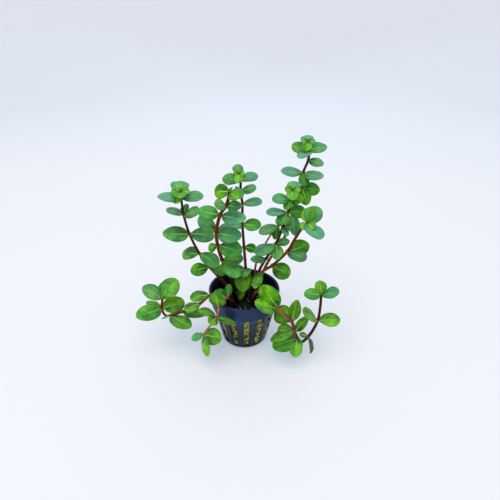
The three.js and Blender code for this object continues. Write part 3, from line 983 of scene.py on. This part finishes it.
@dataclass
class RockWool:
    """The plug of mineral fibre: pressed into the slots, ragged at the right, and painted dark on
    top where it lies in shade.
    """

    pot: NetPot
    foot: float = 1.7
    top: float = 31.5
    shoulder: float = 2.2
    columns: int = 252
    wall_rows: int = 64
    top_rows: int = 16
    clearance: float = 0.25
    slot_setback: float = 0.55
    bulge: float = 0.75
    bulging_slots: tuple[int, ...] = (1, 2, 3)
    rough: float = 0.32
    slot_edges: tuple[float, float] = (0.4, 0.49)
    ragged_edges: tuple[float, float] = (-0.42, -0.12)
    ragged_depth: float = 0.3
    torn_start: float = 0.3
    torn_start_bulging: float = 0.08
    torn_full: float = 0.5
    hollow: float = 1.6
    fibre_count: int = 420
    fibre_radius: float = 0.07
    fibre_colours: tuple[Colour, ...] = (
        (0.40, 0.37, 0.13), (0.22, 0.19, 0.05), (0.50, 0.46, 0.22), (0.05, 0.04, 0.012),
    )

    def outline(self) -> list[tuple[float, float]]:
        """Draws the plain plug.

        Returns:
            Radius and height of its points, from the middle of its foot to its top's.
        """
        wall_top, last = self.top - self.shoulder, self.wall_rows
        heights = [blend(self.foot, wall_top, row / last) for row in range(last + 1)]
        wall = [(self.pot.wall_radius(z) - self.pot.wall - self.clearance, z) for z in heights]
        foot = [(wall[0][0] * row / 4, self.foot) for row in range(5)]
        over = []
        for row in range(1, self.top_rows + 1):
            share = row / self.top_rows
            rise = math.sin(min(1.0, share * 4) * math.pi / 2)
            over.append((wall[-1][0] * (1 - share), blend(wall_top, self.top, rise)))
        return foot + wall[1:] + over

    def build(self, finishes: list[Material]) -> None:
        """Builds and dresses the plug, with its loose fibres.

        Args:
            finishes: The wool's and the fibres'.
        """
        piece = PieceMesh()
        spin_outline(piece.mesh, self.outline(), self.columns, self.pot.merge)
        for vert in piece.mesh.verts:
            vert.co = self.pressed(vert.co)
        bmesh.ops.recalc_face_normals(piece.mesh, faces=piece.mesh.faces)
        self.add_fibres(piece)
        piece.place("wool_plug", "rock_wool", finishes, "rock_wool")

    def pressed(self, place: Vector) -> Vector:
        """Presses the wool into the pot.

        Args:
            place: A point of the plain plug.

        Returns:
            Where the point lies in the pot.
        """
        radius = math.hypot(place.x, place.y)
        grain = noise.fractal(place * 0.9, 0.6, 2.2, 4) * self.rough
        if place.z >= self.top - self.shoulder / 2:
            lumps = noise.noise(place * 0.22) * 1.1 + grain * 1.6
            return place + UP * min(lumps, 0.9)
        if place.z <= self.foot + 0.01 or radius < 1:
            return place
        slot, offset = self.pot.slot_near(place)
        near = offset / self.pot.slot_share
        within = 1 - smooth_share(*self.slot_edges, abs(near))
        within *= smooth_share(self.pot.slot_foot - 0.2, self.pot.slot_foot + 0.8, place.z)
        within *= 1 - smooth_share(self.pot.band_foot - 1, self.pot.band_foot, place.z)
        bulging = slot in self.bulging_slots
        reach = self.pot.wall + self.clearance - self.slot_setback
        if bulging:
            ragged = self.ragged_depth * noise.noise(place * 0.35 + Vector((slot, 2, 9)))
            within *= smooth_share(*self.ragged_edges, near + ragged)
            swell = noise.noise(place * 0.16 + Vector((3, slot, 1)))
            reach += self.slot_setback + self.bulge * swell
        torn = noise.noise(place * 0.3 + Vector((slot, 7, 2)))
        torn_start = self.torn_start_bulging if bulging else self.torn_start
        reach -= smooth_share(torn_start, self.torn_full, torn) * self.hollow
        swollen = radius + within * (reach + grain * (1.6 if bulging else 1.1))
        swollen += (1 - within) * grain * 0.2
        return around(swollen, math.atan2(place.y, place.x), place.z + 0.3 * grain)

    def add_fibres(self, piece: PieceMesh) -> None:
        """Lays loose fibres on the wool that shows in the slots.

        Args:
            piece: The mesh that they join.
        """
        chance = random.Random(17)
        pot = self.pot
        for _ in range(self.fibre_count):
            slot = chance.randrange(pot.slot_count)
            offset = chance.uniform(-0.4, 0.4) * pot.slot_share
            angle = math.radians(pot.slot_turn) + (slot + offset) * math.tau / pot.slot_count
            height = chance.uniform(pot.slot_foot + 1, pot.band_foot - 1)
            outward = self.bulge if slot in self.bulging_slots else -self.slot_setback
            radius = pot.wall_radius(height) + outward * 0.5 + chance.uniform(-0.3, 0.15)
            start = around(radius, angle, height)
            sideways = Vector((-math.sin(angle), math.cos(angle), 0))
            way = (sideways * chance.uniform(-1, 1) + UP * chance.uniform(-1, 1)).normalized()
            bend = start.normalized() * chance.uniform(-0.25, 0.2)
            length = chance.uniform(0.9, 2.2)
            middle = start + (way + bend * 0.5) * length * 0.5
            line = [start, middle, start + (way + bend) * length]
            piece.add_rod(thread(line, self.fibre_radius, chance.choice(self.fibre_colours)), 3, 1)


@dataclass(frozen=True)
class Root:
    """A fine root: where it starts and ends, how far it strays and its thickness."""

    start: Point
    end: Point
    stray: float = 1.0
    radius: float = 0.16
    colour: Colour = (0.62, 0.55, 0.44)
    steps: int = 9

    def points(self, chance: random.Random) -> list[Vector]:
        """Draws the root's wandering middle line.

        Args:
            chance: The seeded source of its bends.

        Returns:
            Its points.
        """
        start, end = Vector(self.start), Vector(self.end)
        shift = Vector((chance.uniform(0, 50), chance.uniform(0, 50), 0))
        line = []
        for step in range(self.steps + 1):
            share = step / self.steps
            wander = noise.noise_vector(shift + UP * (share * 2.2)) * self.stray
            line.append(start.lerp(end, share) + wander * math.sin(math.pi * share))
        return line


@dataclass
class MouthLitter:
    """What lies loose in the pot's mouth and hangs at the nodes: roots, an old leaf, dry bits."""

    roots: tuple[Root, ...] = (
        Root((2, 3, 31), (5, -9, 33.5), 1.6),
        Root((-3, -4, 31), (-6, -13, 32.5), 1.4),
        Root((0, 2, 31), (1, -12, 32.6), 2.0),
        Root((3, -7, 31), (9, -13, 33), 1.3),
        Root((-6, 1, 31), (-13, -6, 33), 1.5),
        Root((1, 5, 31), (-9, 9, 33), 1.8),
        Root((6, 3, 31), (15, 4, 33), 1.6),
        Root((4, -3, 31), (13, -9, 32.8), 1.8),
        Root((-4, -7, 31), (-1, -15, 32.4), 1.2),
        Root((7, 3, 31), (10, 12, 33), 1.4),
        Root((-16.9, -24.1, 41), (-20.4, -26.3, 30.5), 0.5, 0.28, (0.50, 0.20, 0.15)),
        Root((8.6, -9.6, 45.2), (17, -17.6, 43.6), 0.6, 0.3, (0.55, 0.25, 0.22)),
        Root((34, -26.2, 25), (33.6, -27.6, 14.5), 0.8, 0.12),
        Root((36.2, -27.4, 20.2), (35.4, -30.2, 11.5), 0.6, 0.12),
        Root((32, -23, 31), (30.6, -27.4, 25.2), 0.6, 0.16, (0.30, 0.16, 0.08)),
    )
    old_leaves: tuple[StemNode, ...] = (
        at(34, -26.8, 24.6, Leaf(-100, -40, 4.2, 20, 0.6, LeafState.WILTED)),
        at(35.4, -27.6, 21.6, Leaf(-60, -20, 3.6, -30, 0.6, LeafState.WILTED)),
        at(-17.6, 15.6, 32.2, Leaf(-128, 22, 7.4, 20, 0.42, LeafState.WILTED)),
        at(0.9, 5.2, 46, (-119, -55, 15.6, 10, 0.4)),
    )

    def build(self, roots: Material, leaves: Material) -> None:
        """Builds and dresses the litter.

        Args:
            roots: The finish of the roots.
            leaves: The finish of the old leaf and the dry bits.
        """
        chance = random.Random(5)
        fine = PieceMesh()
        for root in self.roots:
            fine.add_rod(thread(root.points(chance), root.radius, root.colour), 6)
        fine.place("roots", "rock_wool", [roots])
        dry = PieceMesh()
        for place in self.old_leaves:
            start, leaf = Vector(place.at), place.leaves[0]
            form = BladeForm.grown(leaf, 0.0, chance)
            dry.add_blade(start, leaf, start + leaf.direction() * leaf.length, form, 0.0, -0.6)
        dry.place("old_leaves", "leaf", [leaves])


class FinishGraph:
    """A material's nodes, with short calls for those that the finishes share."""

    def __init__(self, name: str) -> None:
        """Starts a material with the usual surface shader.

        Args:
            name: The material's name.
        """
        self.material = bpy.data.materials.new(name)
        self.material.use_nodes = True
        self.tree = self.material.node_tree
        self.shader = self.tree.nodes["Principled BSDF"]

    def add(self, kind: str) -> Node:
        """Adds a shader node of a kind."""
        return self.tree.nodes.new(f"ShaderNode{kind}")

    def feed(self, target: Node, inputs: Inputs, output: int | str = 0) -> NodeSocket:
        """Links or sets a node's inputs.

        Args:
            target: The node.
            inputs: What goes into each input, by its number or name.
            output: Which output is wanted.

        Returns:
            The output.
        """
        for key, value in inputs.items():
            socket = target.inputs[key]
            if isinstance(value, NodeSocket):
                self.tree.links.new(value, socket)
            elif isinstance(value, tuple) and len(socket.default_value) == 4:
                socket.default_value = (*value, 1.0)
            else:
                socket.default_value = value
        return target.outputs[output]

    def surface(self, **values: Feed) -> None:
        """Sets the shader's inputs, named in lower case with low lines."""
        names = {name: name.replace("_", " ").title().replace("Ior", "IOR") for name in values}
        self.feed(self.shader, {names[name]: value for name, value in values.items()})

    def place(self) -> NodeSocket:
        """Returns the point's place on the object."""
        return self.add("TexCoord").outputs["Object"]

    def attribute(self, name: str) -> NodeSocket:
        """Reads a vector that the mesh holds.

        Args:
            name: The attribute's name.

        Returns:
            The vector.
        """
        target = self.add("Attribute")
        target.attribute_name = name
        return target.outputs["Vector"]

    def parts(self, vector: NodeSocket) -> list[NodeSocket]:
        """Returns a vector's three numbers."""
        return list(self.feed(self.add("SeparateXYZ"), {0: vector}).node.outputs)

    def math(self, operation: str, *values: Feed) -> NodeSocket:
        """Does a sum on numbers.

        Args:
            operation: The kind of sum.
            values: The numbers.

        Returns:
            The result.
        """
        target = self.add("Math")
        target.operation = operation
        return self.feed(target, dict(enumerate(values)))

    def times(self, value: Feed, factor: Feed) -> NodeSocket:
        """Returns the product of two numbers."""
        return self.math("MULTIPLY", value, factor)

    def less(self, whole: float, value: Feed) -> NodeSocket:
        """Returns what a value leaves of the whole."""
        return self.math("SUBTRACT", whole, value)

    def line(self, value: Feed, slope: Feed, rest: Feed) -> NodeSocket:
        """Returns a value times its slope, and the rest."""
        return self.math("MULTIPLY_ADD", value, slope, rest)

    def band(self, value: Feed, low: float, high: float, top: float = 1.0) -> NodeSocket:
        """Makes a smooth rise.

        Args:
            value: The number that it follows.
            low: The value up to which it is 0.
            high: The value from which it is full.
            top: What full is.

        Returns:
            The rise.
        """
        target = self.add("MapRange")
        target.interpolation_type = "SMOOTHSTEP"
        limits = {"From Min": low, "From Max": high, "To Max": top}
        return self.feed(target, {"Value": value, **limits})

    def mix(self, share: Feed, low: Feed, high: Feed) -> NodeSocket:
        """Mixes two colours.

        Args:
            share: How far the result is from the low one to the high one.
            low: The first colour.
            high: The second colour.

        Returns:
            The colour between them.
        """
        target = self.add("Mix")
        target.data_type = "RGBA"
        return self.feed(target, {0: share, 6: low, 7: high}, 2)

    def dim(self, colour: Feed, share: Feed) -> NodeSocket:
        """Dims or brightens a colour.

        Args:
            colour: The colour.
            share: What it is multiplied by.

        Returns:
            The new colour.
        """
        target = self.add("VectorMath")
        target.operation = "SCALE"
        return self.feed(target, {0: colour, "Scale": share})

    def noise(self, vector: NodeSocket, scale: float, detail: float = 3.0) -> NodeSocket:
        """Returns soft noise between 0 and 1."""
        inputs = {"Vector": vector, "Scale": scale, "Detail": detail}
        return self.feed(self.add("TexNoise"), inputs)

    def spots(self, vector: NodeSocket, spots: "Spots") -> NodeSocket:
        """Returns 0 between spots and their strength inside them."""
        grey = self.noise(vector, spots.scale, spots.detail)
        return self.band(grey, spots.low, spots.high, spots.strength)

    def cells(self, vector: NodeSocket, scale: float) -> NodeSocket:
        """Returns the distance from the middles of irregular cells."""
        return self.feed(self.add("TexVoronoi"), {"Vector": vector, "Scale": scale}, "Distance")

    def relief(self, height: Feed, depth: float, strength: float = 1.0) -> None:
        """Gives the surface a relief, with its depth in millimetres."""
        inputs = {"Strength": strength, "Distance": depth * MM, "Height": height}
        self.feed(self.shader, {"Normal": self.feed(self.add("Bump"), inputs)})


@dataclass(frozen=True)
class Spots:
    """Irregular spots: the noise's scale and detail, and between which values they begin."""

    scale: float
    detail: float
    low: float
    high: float
    strength: float = 1.0


@dataclass(frozen=True)
class Finish:
    """What the finishes share: a name and the making of the material."""

    name: str

    def material(self) -> Material:
        """Makes the material.

        Returns:
            The finish's material.
        """
        graph = FinishGraph(self.name)
        self.paint(graph, graph.place())
        return graph.material

    def paint(self, graph: FinishGraph, place: NodeSocket) -> None:
        """Lays the nodes that make the finish.

        Args:
            graph: The material's nodes.
            place: The point's place on the object.
        """
        raise NotImplementedError


@dataclass(frozen=True)
class LeafFinish(Finish):
    """A glossy leaf with a pale midrib, side veins and a darker margin, duller underneath."""

    name: str = "leaf"
    mature: Colour = (0.052, 0.268, 0.003)
    fresh: Colour = (0.172, 0.455, 0.001)
    # The dark green of the random blotches and of the painted shade near the stem.
    shaded: Colour = (0.008, 0.070, 0.001)
    young: Colour = (0.135, 0.430, 0.001)
    margin: Colour = (0.012, 0.110, 0.010)
    # A pale margin, brightened to paint a highlight along the outline.
    rim: Colour = (0.30, 0.56, 0.18)
    # The pale midrib and side veins, brightened to paint a highlight along them.
    midrib: Colour = (0.46, 0.76, 0.28)
    foot: Colour = (0.17, 0.30, 0.02)
    underside: Colour = (0.060, 0.24, 0.030)
    wilted: Colour = (0.20, 0.23, 0.15)
    # Glaucous teal, which also paints the sky's sheen on leaves that face it.
    bloom_and_sheen: Colour = (0.140, 0.40, 0.31)
    sheen: Colour = (0.30, 0.85, 0.75)
    wax: Colour = (0.20, 1.0, 0.22)
    low_heights: tuple[float, float] = (0.03, 0.07)
    fresh_limits: tuple[float, float] = (0.42, 0.70)
    blotches: Spots = Spots(200, 3, 0.40, 0.68)
    vein_count: float = 9.0
    vein_slant: float = 0.2
    rib_width: float = 0.45

    def paint(self, graph: FinishGraph, place: NodeSocket) -> None:
        """Lays the green, then the lines, the margin, the glaucous blue with its painted sky
        sheen, and the relief.

        Args:
            graph: The material's nodes.
            place: The point's place on the object.
        """
        across, share, edge = graph.parts(graph.attribute("blade"))
        youth, shade, under = graph.parts(graph.attribute("tone"))
        low = graph.less(1.0, graph.band(graph.parts(place)[2], *self.low_heights))
        blotches = graph.spots(place, self.blotches)
        colour = self.green(graph, place, low, blotches)
        # Painted fold light: the left half of the blade is up to a third lighter where shade is
        # above zero and darker where it is below, as a fold along the midrib would be lit. The
        # whole leaf also differs a little at random.
        half = graph.times(graph.band(across, -0.6, 0.6, 0.34), graph.math("SIGN", shade))
        colour = graph.dim(colour, graph.line(shade, -0.05, graph.math("ADD", half, 1.0)))
        vein = self.veins(graph, share, edge)
        colour = graph.mix(graph.times(vein, 0.25), colour, self.midrib)
        colour = graph.mix(graph.band(edge, 0.72, 1.0, 0.75), colour, self.margin)
        # A thin pale rim on the outline, paler low down: a pale margin brightened as a painted
        # highlight.
        pale = graph.times(graph.band(edge, 0.93, 0.98), graph.line(low, 0.5, 0.2))
        colour = graph.mix(pale, colour, self.rim)
        # The pale midrib, brightened as a painted highlight, fading before the tip.
        width = graph.line(share, -0.8 * self.rib_width, self.rib_width)
        distance = graph.math("DIVIDE", graph.math("ABSOLUTE", across), width)
        rib = graph.less(1.0, graph.band(distance, 0.4, 1.2))
        rib = graph.times(rib, graph.less(1.0, graph.band(share, 0.5, 0.95)))
        uneven = graph.math("ADD", graph.noise(place, 110, 1), 0.15)
        colour = graph.mix(graph.times(rib, uneven), colour, self.midrib)
        colour = graph.mix(graph.less(0.7, graph.band(share, 0.0, 0.16, 0.7)), colour, self.foot)
        colour = graph.mix(graph.times(under, 0.85), colour, self.underside)
        # Glaucous blue with a painted sky sheen: in patches towards the tip, less at the margin,
        # little on the midrib and none underneath.
        faded, bloom_and_sheen, _ = graph.parts(graph.attribute("coat"))
        bloom_and_sheen = graph.times(bloom_and_sheen, graph.less(1.0, graph.band(edge, 0.75, 1.0, 0.8)))
        sheen_patches = graph.band(graph.line(graph.noise(place, 150, 2), 1.0, share), 0.42, 0.95)
        bare = graph.math("MAXIMUM", under, graph.times(rib, 0.7))
        sheen_patches = graph.times(sheen_patches, graph.less(0.9, bare))
        colour = graph.mix(graph.times(sheen_patches, bloom_and_sheen), colour, self.bloom_and_sheen)
        colour = graph.mix(faded, colour, graph.dim(self.wilted, graph.noise(place, 600)))
        ridges = graph.line(vein, -1.0, graph.times(graph.cells(place, 1500), 0.25))
        graph.relief(graph.line(rib, -0.3, ridges), 0.12, 0.7)
        gloss = graph.line(under, 0.2, graph.band(blotches, 0.0, 1.0, 0.1))
        graph.surface(
            base_color=colour, roughness=graph.math("ADD", gloss, 0.38), specular_tint=self.wax,
            specular_ior_level=0.32, coat_weight=0.06, coat_roughness=0.25,
            sheen_weight=0.03, sheen_tint=self.sheen,
        )

    def green(
        self, graph: FinishGraph, place: NodeSocket, low: NodeSocket, blotches: NodeSocket
    ) -> NodeSocket:
        """Makes the plain blade's colour, with the painted shade near the stem.

        Args:
            graph: The material's nodes.
            place: The point's place on the object.
            low: How far down the plant the point is, where leaves are fresher.
            blotches: Where the blade is darker.

        Returns:
            The colour.
        """
        share = graph.parts(graph.attribute("blade"))[1]
        youth, shade, _ = graph.parts(graph.attribute("tone"))
        patches = graph.math("ADD", graph.noise(place, 90, 2), graph.times(shade, -0.12))
        patches = graph.band(graph.line(low, 0.16, patches), *self.fresh_limits)
        plain = graph.mix(patches, self.mature, self.fresh)
        plain = graph.mix(graph.band(youth, 0.3, 1.0), plain, self.young)
        # Painted shade: the blade darkens towards the stem, on top of the random dark blotches.
        painted_stem_shade = graph.less(0.5, graph.band(share, 0.0, 0.55, 0.5))
        darker = graph.math("ADD", graph.times(blotches, 0.75), painted_stem_shade)
        darker = graph.times(darker, graph.line(youth, -0.5, 0.9))
        return graph.mix(darker, plain, self.shaded)

    def veins(self, graph: FinishGraph, share: NodeSocket, edge: NodeSocket) -> NodeSocket:
        """Draws the side veins, which end before the margin.

        Args:
            graph: The material's nodes.
            share: The share of the blade's length.
            edge: The share of the half width.

        Returns:
            1 on a vein and 0 beside it.
        """
        slanted = graph.line(edge, -self.vein_slant, share)
        wave = graph.math("FRACT", graph.times(slanted, self.vein_count))
        crest = graph.times(graph.math("ABSOLUTE", graph.math("SUBTRACT", wave, 0.5)), 2.0)
        inner = graph.less(1.0, graph.band(edge, 0.45, 0.95))
        return graph.times(graph.band(crest, 0.84, 1.0), inner)


@dataclass(frozen=True)
class StemFinish(Finish):
    """A smooth stem in the colour that its mesh holds, streaked and freckled."""

    name: str = "stem"
    pale: Colour = (0.45, 0.16, 0.12)
    gloss: Colour = (1.0, 0.45, 0.35)
    streaks: Spots = Spots(900, 2, 0.35, 0.75)
    freckles: Spots = Spots(350, 2, 0.6, 0.8, 0.12)

    def paint(self, graph: FinishGraph, place: NodeSocket) -> None:
        """Lays the streaks and the freckles.

        Args:
            graph: The material's nodes.
            place: The point's place on the object.
        """
        streaks = graph.spots(place, self.streaks)
        colour = graph.dim(graph.attribute("tint"), graph.line(streaks, 0.7, 0.65))
        colour = graph.mix(graph.spots(place, self.freckles), colour, self.pale)
        graph.relief(streaks, 0.08, 0.6)
        graph.surface(
            base_color=colour, roughness=0.4, specular_ior_level=0.25, specular_tint=self.gloss
        )


@dataclass(frozen=True)
class PotFinish(Finish):
    """Moulded black plastic, tinted blue-grey in cloudy patches that grow towards the band, which
    paints a bluish sheen.
    """

    black: Colour = (0.004, 0.006, 0.012)
    # The blue-grey that paints the plastic's bluish sheen.
    bloom_and_sheen: Colour = (0.016, 0.036, 0.120)
    sheen: Colour = (0.45, 0.60, 1.0)
    clouds: Spots = Spots(70, 4, 0.3, 0.7)
    sheen_heights: tuple[float, float] = (0.012, 0.034)
    sheen_share: float = 1.0
    roughness: float = 0.36
    gloss: float = 0.36

    def paint(self, graph: FinishGraph, place: NodeSocket) -> None:
        """Lays the blue-grey tint with its painted sheen, and the fine scuffs.

        Args:
            graph: The material's nodes.
            place: The point's place on the object.
        """
        clouds = graph.spots(place, self.clouds)
        # Painted sheen: the blue-grey shows from 12 mm up and is full from 34 mm, in cloudy
        # patches.
        raised = graph.band(graph.parts(place)[2], *self.sheen_heights)
        share = graph.times(raised, graph.line(clouds, 0.45, 0.5))
        colour = graph.mix(graph.times(share, self.sheen_share), self.black, self.bloom_and_sheen)
        graph.relief(graph.noise(place, 900, 2), 0.03, 0.5)
        graph.surface(
            base_color=colour, roughness=graph.line(clouds, 0.12, self.roughness),
            specular_tint=self.sheen, specular_ior_level=self.gloss,
        )


@dataclass(frozen=True)
class WoolFinish(Finish):
    """Damp mineral fibre: olive and tan, with dark strands and clumps, and painted nearly black on
    top for the shade in the pot.
    """

    name: str = "rock_wool"
    olive: Colour = (0.135, 0.145, 0.020)
    tan: Colour = (0.46, 0.47, 0.17)
    dark: Colour = (0.022, 0.018, 0.006)
    # Nearly black: the colour of the dark clumps, and the painted shade on the plug's top.
    clumps_and_shade: Colour = (0.007, 0.006, 0.006)
    tufts: Spots = Spots(420, 5, 0.42, 0.62)
    strands: Spots = Spots(800, 4, 0.50, 0.64)
    clumps: Spots = Spots(280, 4, 0.56, 0.62)
    painted_shade_height: float = 30.5

    def paint(self, graph: FinishGraph, place: NodeSocket) -> None:
        """Lays the tufts, the strands, the dark clumps and the painted shade on the top.

        Args:
            graph: The material's nodes.
            place: The point's place on the object.
        """
        colour = graph.mix(graph.spots(place, self.tufts), self.olive, self.tan)
        colour = graph.mix(graph.spots(place, self.strands), colour, self.dark)
        colour = graph.mix(graph.spots(place, self.clumps), colour, self.clumps_and_shade)
        # Painted shade: the plug's top, from about 29.5 mm up, is nearly black as the pot's mouth
        # lies in shade.
        limits = ((self.painted_shade_height - 1) * MM, self.painted_shade_height * MM)
        colour = graph.mix(graph.band(graph.parts(place)[2], *limits), colour, self.clumps_and_shade)
        grain = graph.math("ADD", graph.noise(place, 2200, 4), graph.noise(place, 700, 3))
        graph.relief(grain, 0.5, 0.9)
        graph.surface(base_color=colour, roughness=0.9, specular_ior_level=0.2)


@dataclass(frozen=True)
class ThreadFinish(Finish):
    """Fine threads in the colour that their mesh holds, unevenly dark."""

    roughness: float
    patches: Spots = Spots(500, 3, 0.35, 0.7)

    def paint(self, graph: FinishGraph, place: NodeSocket) -> None:
        """Lays the dark patches.

        Args:
            graph: The material's nodes.
            place: The point's place on the object.
        """
        patches = graph.spots(place, self.patches)
        colour = graph.dim(graph.attribute("tint"), graph.line(patches, 0.5, 0.55))
        graph.relief(patches, 0.05, 0.5)
        graph.surface(base_color=colour, roughness=self.roughness)


@dataclass(frozen=True)
class FloorFinish(Finish):
    """A pale matt floor, with a faint bluish light of its own that softens the shadows."""

    name: str = "floor"
    pale: Colour = (0.67, 0.60, 0.53)
    glow: Colour = (0.18, 0.25, 0.35)

    def paint(self, graph: FinishGraph, place: NodeSocket) -> None:
        """Lays the even colour and a soft relief.

        Args:
            graph: The material's nodes.
            place: The point's place on the object.
        """
        graph.relief(graph.noise(place, 60, 4), 0.6, 0.25)
        graph.surface(
            base_color=self.pale, roughness=0.85, specular_ior_level=0.1,
            emission_color=self.glow, emission_strength=1.0,
        )


@dataclass(frozen=True)
class Lamp:
    """A soft square light."""

    name: str
    place: Point
    size: float
    power: float
    colour: Colour
    aim: Point = (0.0, 0.0, 0.07)

    def build(self) -> None:
        """Hangs the light and turns it to its aim."""
        data = bpy.data.lights.new(self.name, "AREA")
        data.size = self.size
        data.energy = self.power
        data.color = self.colour
        lamp = bpy.data.objects.new(self.name, data)
        lamp.location = self.place
        way = Vector(self.aim) - Vector(self.place)
        lamp.rotation_euler = way.to_track_quat("-Z", "Y").to_euler()
        bpy.context.scene.collection.objects.link(lamp)


@dataclass
class Studio:
    """The pale floor that rises all round, the soft lights and the camera, in metres."""

    floor_radius: float = 1.2
    floor_rise: float = 0.5
    floor_steps: int = 96
    world_colour: Colour = (0.85, 0.91, 1.0)
    world_strength: float = 0.72
    lens: float = 26.86
    nearest: float = 0.01
    camera_place: Point = (0.0041, -0.2150, 0.1982)
    camera_tilt: float = 59.8
    lamps: tuple[Lamp, ...] = (
        Lamp("sky", (0.10, 1.05, 0.85), 1.1, 3.2, (0.46, 0.70, 1.0)),
        Lamp("key", (-0.12, -0.40, 1.15), 1.1, 8.2, (1.0, 0.965, 0.92)),
        Lamp("wash", (0.0, 0.30, 1.10), 0.8, 0.8, (1.0, 0.98, 0.95), (0.0, 2.6, 0.5)),
    )

    def build_floor(self, finish: Material) -> None:
        """Builds the floor, flat in the middle and rounded up to its edge.

        Args:
            finish: The floor's finish.
        """
        outline = [(0.0, 0.0), (self.floor_radius, 0.0)]
        for share in (0.2, 0.4, 0.6, 0.8, 1.0):
            angle = share * math.pi / 2
            out = self.floor_radius + self.floor_rise * math.sin(angle)
            outline.append((out, self.floor_rise * (1 - math.cos(angle))))
        mesh = bmesh.new()
        spin_outline(mesh, outline, self.floor_steps, 1e-5)
        bmesh.ops.recalc_face_normals(mesh, faces=mesh.faces)
        data = bpy.data.meshes.new("floor")
        mesh.to_mesh(data)
        mesh.free()
        data.shade_smooth()
        data.materials.append(finish)
        stage = bpy.data.objects.new("floor", data)
        bpy.context.scene.collection.objects.link(stage)

    def build(self, floor: Material) -> None:
        """Builds the floor, the lights and the camera.

        Args:
            floor: The floor's finish.
        """
        scene = bpy.context.scene
        self.build_floor(floor)
        for lamp in self.lamps:
            lamp.build()
        scene.world = bpy.data.worlds.new("studio")
        scene.world.use_nodes = True
        background = scene.world.node_tree.nodes["Background"]
        background.inputs["Color"].default_value = (*self.world_colour, 1)
        background.inputs["Strength"].default_value = self.world_strength
        scene.view_settings.view_transform = "Standard"
        lens = bpy.data.cameras.new("camera")
        lens.lens = self.lens
        lens.clip_start = self.nearest
        camera = bpy.data.objects.new("camera", lens)
        camera.location = self.camera_place
        camera.rotation_euler = (math.radians(self.camera_tilt), 0, 0)
        scene.collection.objects.link(camera)
        scene.camera = camera


def main() -> None:
    """Builds the studio, the pot, the plug and the ten shoots."""
    logging.basicConfig(level=logging.INFO, format="%(message)s")
    Studio().build(FloorFinish().material())
    pot = NetPot()
    # The inside is a darker, duller copy of the plastic, which paints the shade in the pot.
    inside = PotFinish("pot_inside", sheen_share=0.02, roughness=0.5, gloss=0.15)
    pot.build([PotFinish("pot_outside").material(), inside.material()])
    RockWool(pot).build([WoolFinish().material(), ThreadFinish("fibres", 0.8).material()])
    finishes = [LeafFinish().material(), StemFinish().material()]
    for shoot in SHOOTS:
        path = StemPath(shoot)
        Stem(path, finishes).build()
        for index in range(shoot.crown):
            if shoot.nodes[index].leaves:
                LeafPair(path, finishes).build(index)
        GrowingTip(path, finishes).build()
    MouthLitter().build(ThreadFinish("roots", 0.5).material(), finishes[0])


if __name__ == "__main__":
    main()
